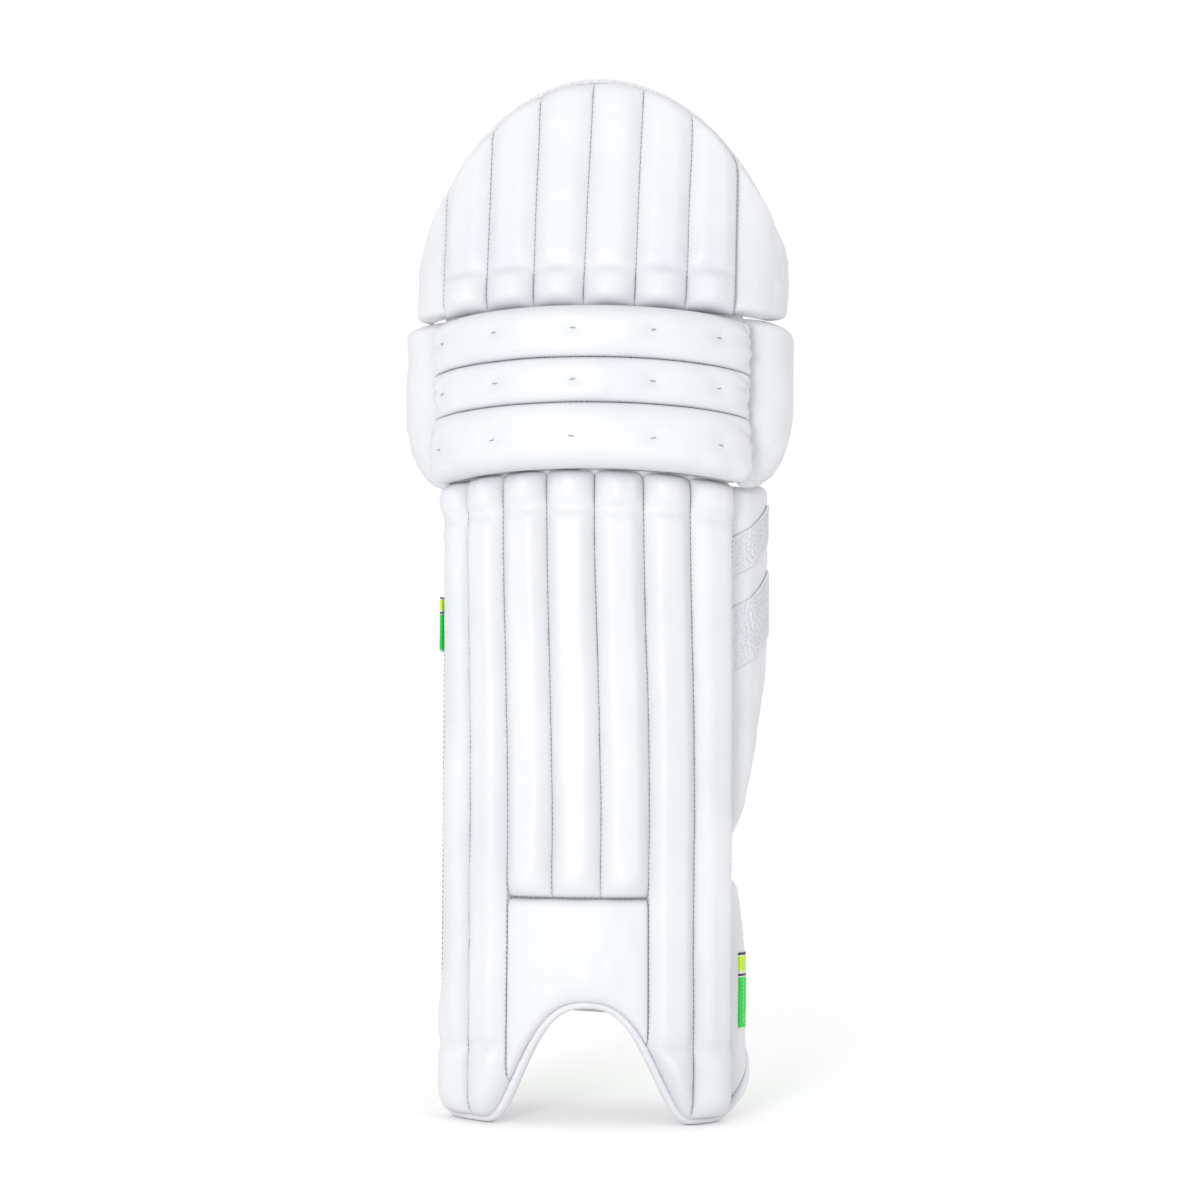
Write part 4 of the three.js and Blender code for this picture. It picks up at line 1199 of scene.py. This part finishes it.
def build_strap(name, parent, section, z, wide, narrow, face, anchor, ground, start, patch_end, end, back):
    """A strap's sewn anchor, its loop behind the leg, the tab at its other end and the tape under that."""
    curve, node = section[0], f"{name}_strap"
    is_ankle = name == "ankle"
    s = np.linspace(*anchor, 24)
    stand = flare(s, z) if is_ankle else 0 * s
    line = np.stack(curve(s, face + STRAP / 2 + stand), -1)
    strip(f"{node}_anchor", line, lateral(curve, s)[:, :2], wide / 2, z, is_ankle)
    # The ankle strap's anchor is sewn outside its flap, the others inside theirs.
    seat = (lambda at: face + STRAP + 0.1 + flare(at, z)) if is_ankle else (lambda at: face - 0.15)
    facing = 1 if is_ankle else -1
    low, high = z - wide / 2 + 5, z + wide / 2 - 5
    fasten_stitches(parent, section, anchor[0] + 4, anchor[0] + 26, seat, low, high, facing)

    def beyond(at, out, distance):
        """A plan point past the end of a strip that ends at a place on the curve."""
        here = np.array(curve(at, out))
        step = here - np.array(curve(at - math.copysign(1, at), out))
        return here + step / np.linalg.norm(step) * distance

    tab_out = lambda at: ground(at) + TAB_LIFT + STRAP / 2
    first = lambda distance: beyond(anchor[1], face + STRAP / 2 + float(stand[-1]), distance)
    last = lambda distance: beyond(-end, float(tab_out(-end)), distance)
    line = catmull([first(0.9), first(6), *back, last(6), last(1.3)], np.linspace(0, 1, 181))
    tangent = unit(np.gradient(line, axis=0))
    normal = np.stack([tangent[:, 1], -tangent[:, 0]], -1)
    if (normal * line).sum() < 0:
        normal = -normal
    height = narrow + (wide - narrow) * np.clip((line[:, 0] + 100) / 200, 0, 1)
    strip(node, line, normal, height / 2 - 0.1, z)

    # The tab and the loop tape under it. The calf tab's free end has lifted off its tape.
    s = -np.linspace(start, end, 30)
    curl = 6.2 * (1 - smooth(-s, start, start + 17)) if name == "calf" else 0 * s
    line = np.stack(curve(s, tab_out(s) + curl), -1)
    strip(f"{node}_tab", line, lateral(curve, s)[:, :2], narrow / 2, z, name == "calf")
    fasten_stitches(
        NODES[f"{node}_tab"]["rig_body"], section, -end + 3, -start - 16,
        lambda at: ground(at) + TAB_LIFT + STRAP + 0.1, z - narrow / 2 + 4, z + narrow / 2 - 4, 1,
    )
    s = -np.linspace(start, patch_end, 40)[None, :]
    v = steps(24, 0.4)[:, None]
    level = z - narrow / 2 - 2.8 + (narrow + 5.6) * v
    tufts = 0.14 * noise(s / 1.6, level / 1.6, 240)
    outer = ground(s) + GAP + 0.35 + (0.6 + tufts) * dome(np.minimum(v, 1 - v) * narrow + 0.2, 2.0)
    under = ground(s) + 0.1
    sewn(f"{name}_loop_patch", section, s, level, outer, under, 0.0, None, "pile", "loop_tape", PILE, 60)


def ear_face(s):
    across = np.clip((np.abs(s) - KNEE_HALF - GAP) / (80 - GAP), 0, 1)
    return 3 + 10 * np.maximum(0, np.sin(PI * across)) ** 0.7


def build_straps():
    flap = dict(
        ground=lambda s: FLAP_GROUND + 0 * np.asarray(s, float), start=SHIN_EDGE + 15,
        patch_end=SIDE_END[-1] - EDGE_CLEAR, end=SIDE_END[-1],
    )
    build_strap(
        "ankle", "shin", SHIN, ANKLE_STRAP_Z, 58, 40, FLAP_GROUND + GAP, (SHIN_EDGE + 14, SIDE_END[1]),
        back=[(82, 126), (45, 136), (0, 138), (-45, 136), (-88, 124)], **flap,
    )
    build_strap(
        "calf", "outer_wing", OUTER_WING, CALF_STRAP_Z, 52, 42, -6 - 4 * GAP - STRAP,
        (SHIN_EDGE + 44, SHIN_EDGE + 78), back=[(80, 143), (42, 150), (0, 150), (-45, 144), (-90, 126)], **flap,
    )
    build_strap(
        "knee", "knee", KNEE, KNEE_STRAP_Z, 56, 44, -8 - GAP - STRAP, (KNEE_HALF + 44, KNEE_HALF + 84),
        ground=ear_face, start=KNEE_HALF + 44, patch_end=KNEE_HALF + 78, end=KNEE_HALF + 80,
        back=[(92, 150), (48, 158), (0, 160), (-48, 158), (-100, 150)],
    )


# ------------------------------------------------------------------------------------ folds
def hinge_strip(name, surface, bodies, heights, out, thick, half):
    """Cloth or leather sewn across a fold: it lies on one section below it and on the other above it."""
    u, t = np.linspace(0, 1, 81)[None, :], np.linspace(0, 1, 29)[:, None]
    s, z = -half + 2 * half * u, heights[0] + (heights[1] - heights[0]) * t
    mix = smooth(t, 0.3, 0.7)[..., None]
    lower, upper = (ON_SECTION[body] for body in bodies)

    def face(lift):
        return pad_frame(lower(s, out + lift, z) * (1 - mix) + upper(s, out + lift, z) * mix)

    shape = Shape()
    shape.slab(face(thick), face(0))
    piece = shape.build(name, [surface])
    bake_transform(piece)


def on_flap(s, out, z):
    """A point of the flap in the pad's own frame."""
    pivot = np.array([0, 0, FLAP_PIVOT])
    return leaning(at_heights(flap_curve, s, out, z - FLAP_PIVOT), FLAP_LEAN) + pivot


ON_SECTION = {
    "shin": lambda *at: at_heights(side_curve, *at),
    "knee": lambda *at: at_heights(knee_curve, *at),
    "top_flap": on_flap,
}


def build_gussets():
    low, high = ("shin", "knee"), ("knee", "top_flap")
    hinge_strip("shin_knee_hinge_cloth", LINING, low, (468.5, 494.5), -11.6, 0.8, 96)
    hinge_strip("knee_flap_hinge_cloth", LINING, high, (596, 617), -11.6, 0.8, 92)
    hinge_strip("shin_knee_fold_leather", LEATHER, low, (458, 506), -0.15, 0.5, 120)
    hinge_strip("knee_flap_fold_leather", LEATHER, high, (590, 630), -0.15, 0.5, 116)


# ------------------------------------------------------------------------------------ what stays from the CAD
def dress_frame():
    for name, node in NODES.items():
        inside = FOAM if "foam" in name or "core" in name else LEATHER
        node.data.materials.clear()
        node.data.materials.append(CANE if "cane" in name else inside)


# ------------------------------------------------------------------------------------ studio
CAMERA_AZIMUTH = math.radians(8)
CAMERA_DISTANCE = 2.4
AIM_ASIDE, AIM_HEIGHT = 0.0049, 0.3895
LENS = 36 * 2.365 / 0.9
LAMP_AIM = Vector((0, 0, 0.42))
LAMPS = (("key", (-0.45, -2.6, 0.75), 0.8, 25), ("fill", (1.9, -1.5, 0.8), 1.2, 1.5))
FLOOR_HALF = 14


def aimed(obj, place, direction):
    obj.location = place
    obj.rotation_mode = "QUATERNION"
    obj.rotation_quaternion = direction.to_track_quat("-Z", "Y")
    bpy.context.scene.collection.objects.link(obj)
    return obj


def build_studio():
    scene = bpy.context.scene
    scene.view_settings.view_transform = "Standard"
    world = bpy.data.worlds.new("studio")
    world.use_nodes = True
    world.node_tree.nodes["Background"].inputs["Color"].default_value = (1, 1, 1, 1)
    world.node_tree.nodes["Background"].inputs["Strength"].default_value = 1.01
    scene.world = world

    across = Vector((math.cos(CAMERA_AZIMUTH), math.sin(CAMERA_AZIMUTH), 0))
    back = Vector((across.y, -across.x, 0))
    aim = across * AIM_ASIDE + Vector((0, 0, AIM_HEIGHT))
    camera = bpy.data.objects.new("camera", bpy.data.cameras.new("camera"))
    camera.data.sensor_width = 36
    camera.data.lens = LENS
    scene.camera = aimed(camera, aim + back * CAMERA_DISTANCE, -back)

    for name, place, size, power in LAMPS:
        light = bpy.data.lights.new(name, "AREA")
        light.shape = "DISK"
        light.size = size
        light.energy = power
        aimed(bpy.data.objects.new(name, light), place, LAMP_AIM - Vector(place))

    floor = Shape()
    corners = [(x * FLOOR_HALF, y * FLOOR_HALF, 0) for x, y in ((-1, -1), (1, -1), (1, 1), (-1, 1))]
    floor.add(corners, [[0, 1, 2, 3]])
    n = Nodes("floor")
    tone = n.blend(n.noise(3, 3), (0.982, 0.982, 0.982), (0.988, 0.988, 0.988))
    n.set(Base_Color=tone, Roughness=n.range(n.noise(20, 2), 0, 1, 0.8, 0.9))
    n.set(Specular_IOR_Level=0.1)
    floor = floor.build("floor", [n.material])
    floor.location.z = -0.0003


build_studio()
dress_frame()
build_shin()
build_rolls()
build_ears()
build_flap()
build_wing()
build_canes()
build_side_flaps()
build_bottom_binding()
build_linings()
build_cushions()
build_straps()
build_gussets()
for body, work in stitches.items():
    piece = work.build(f"{body}_stitching", [DARK_THREAD, WHITE_THREAD])
    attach(piece, body)
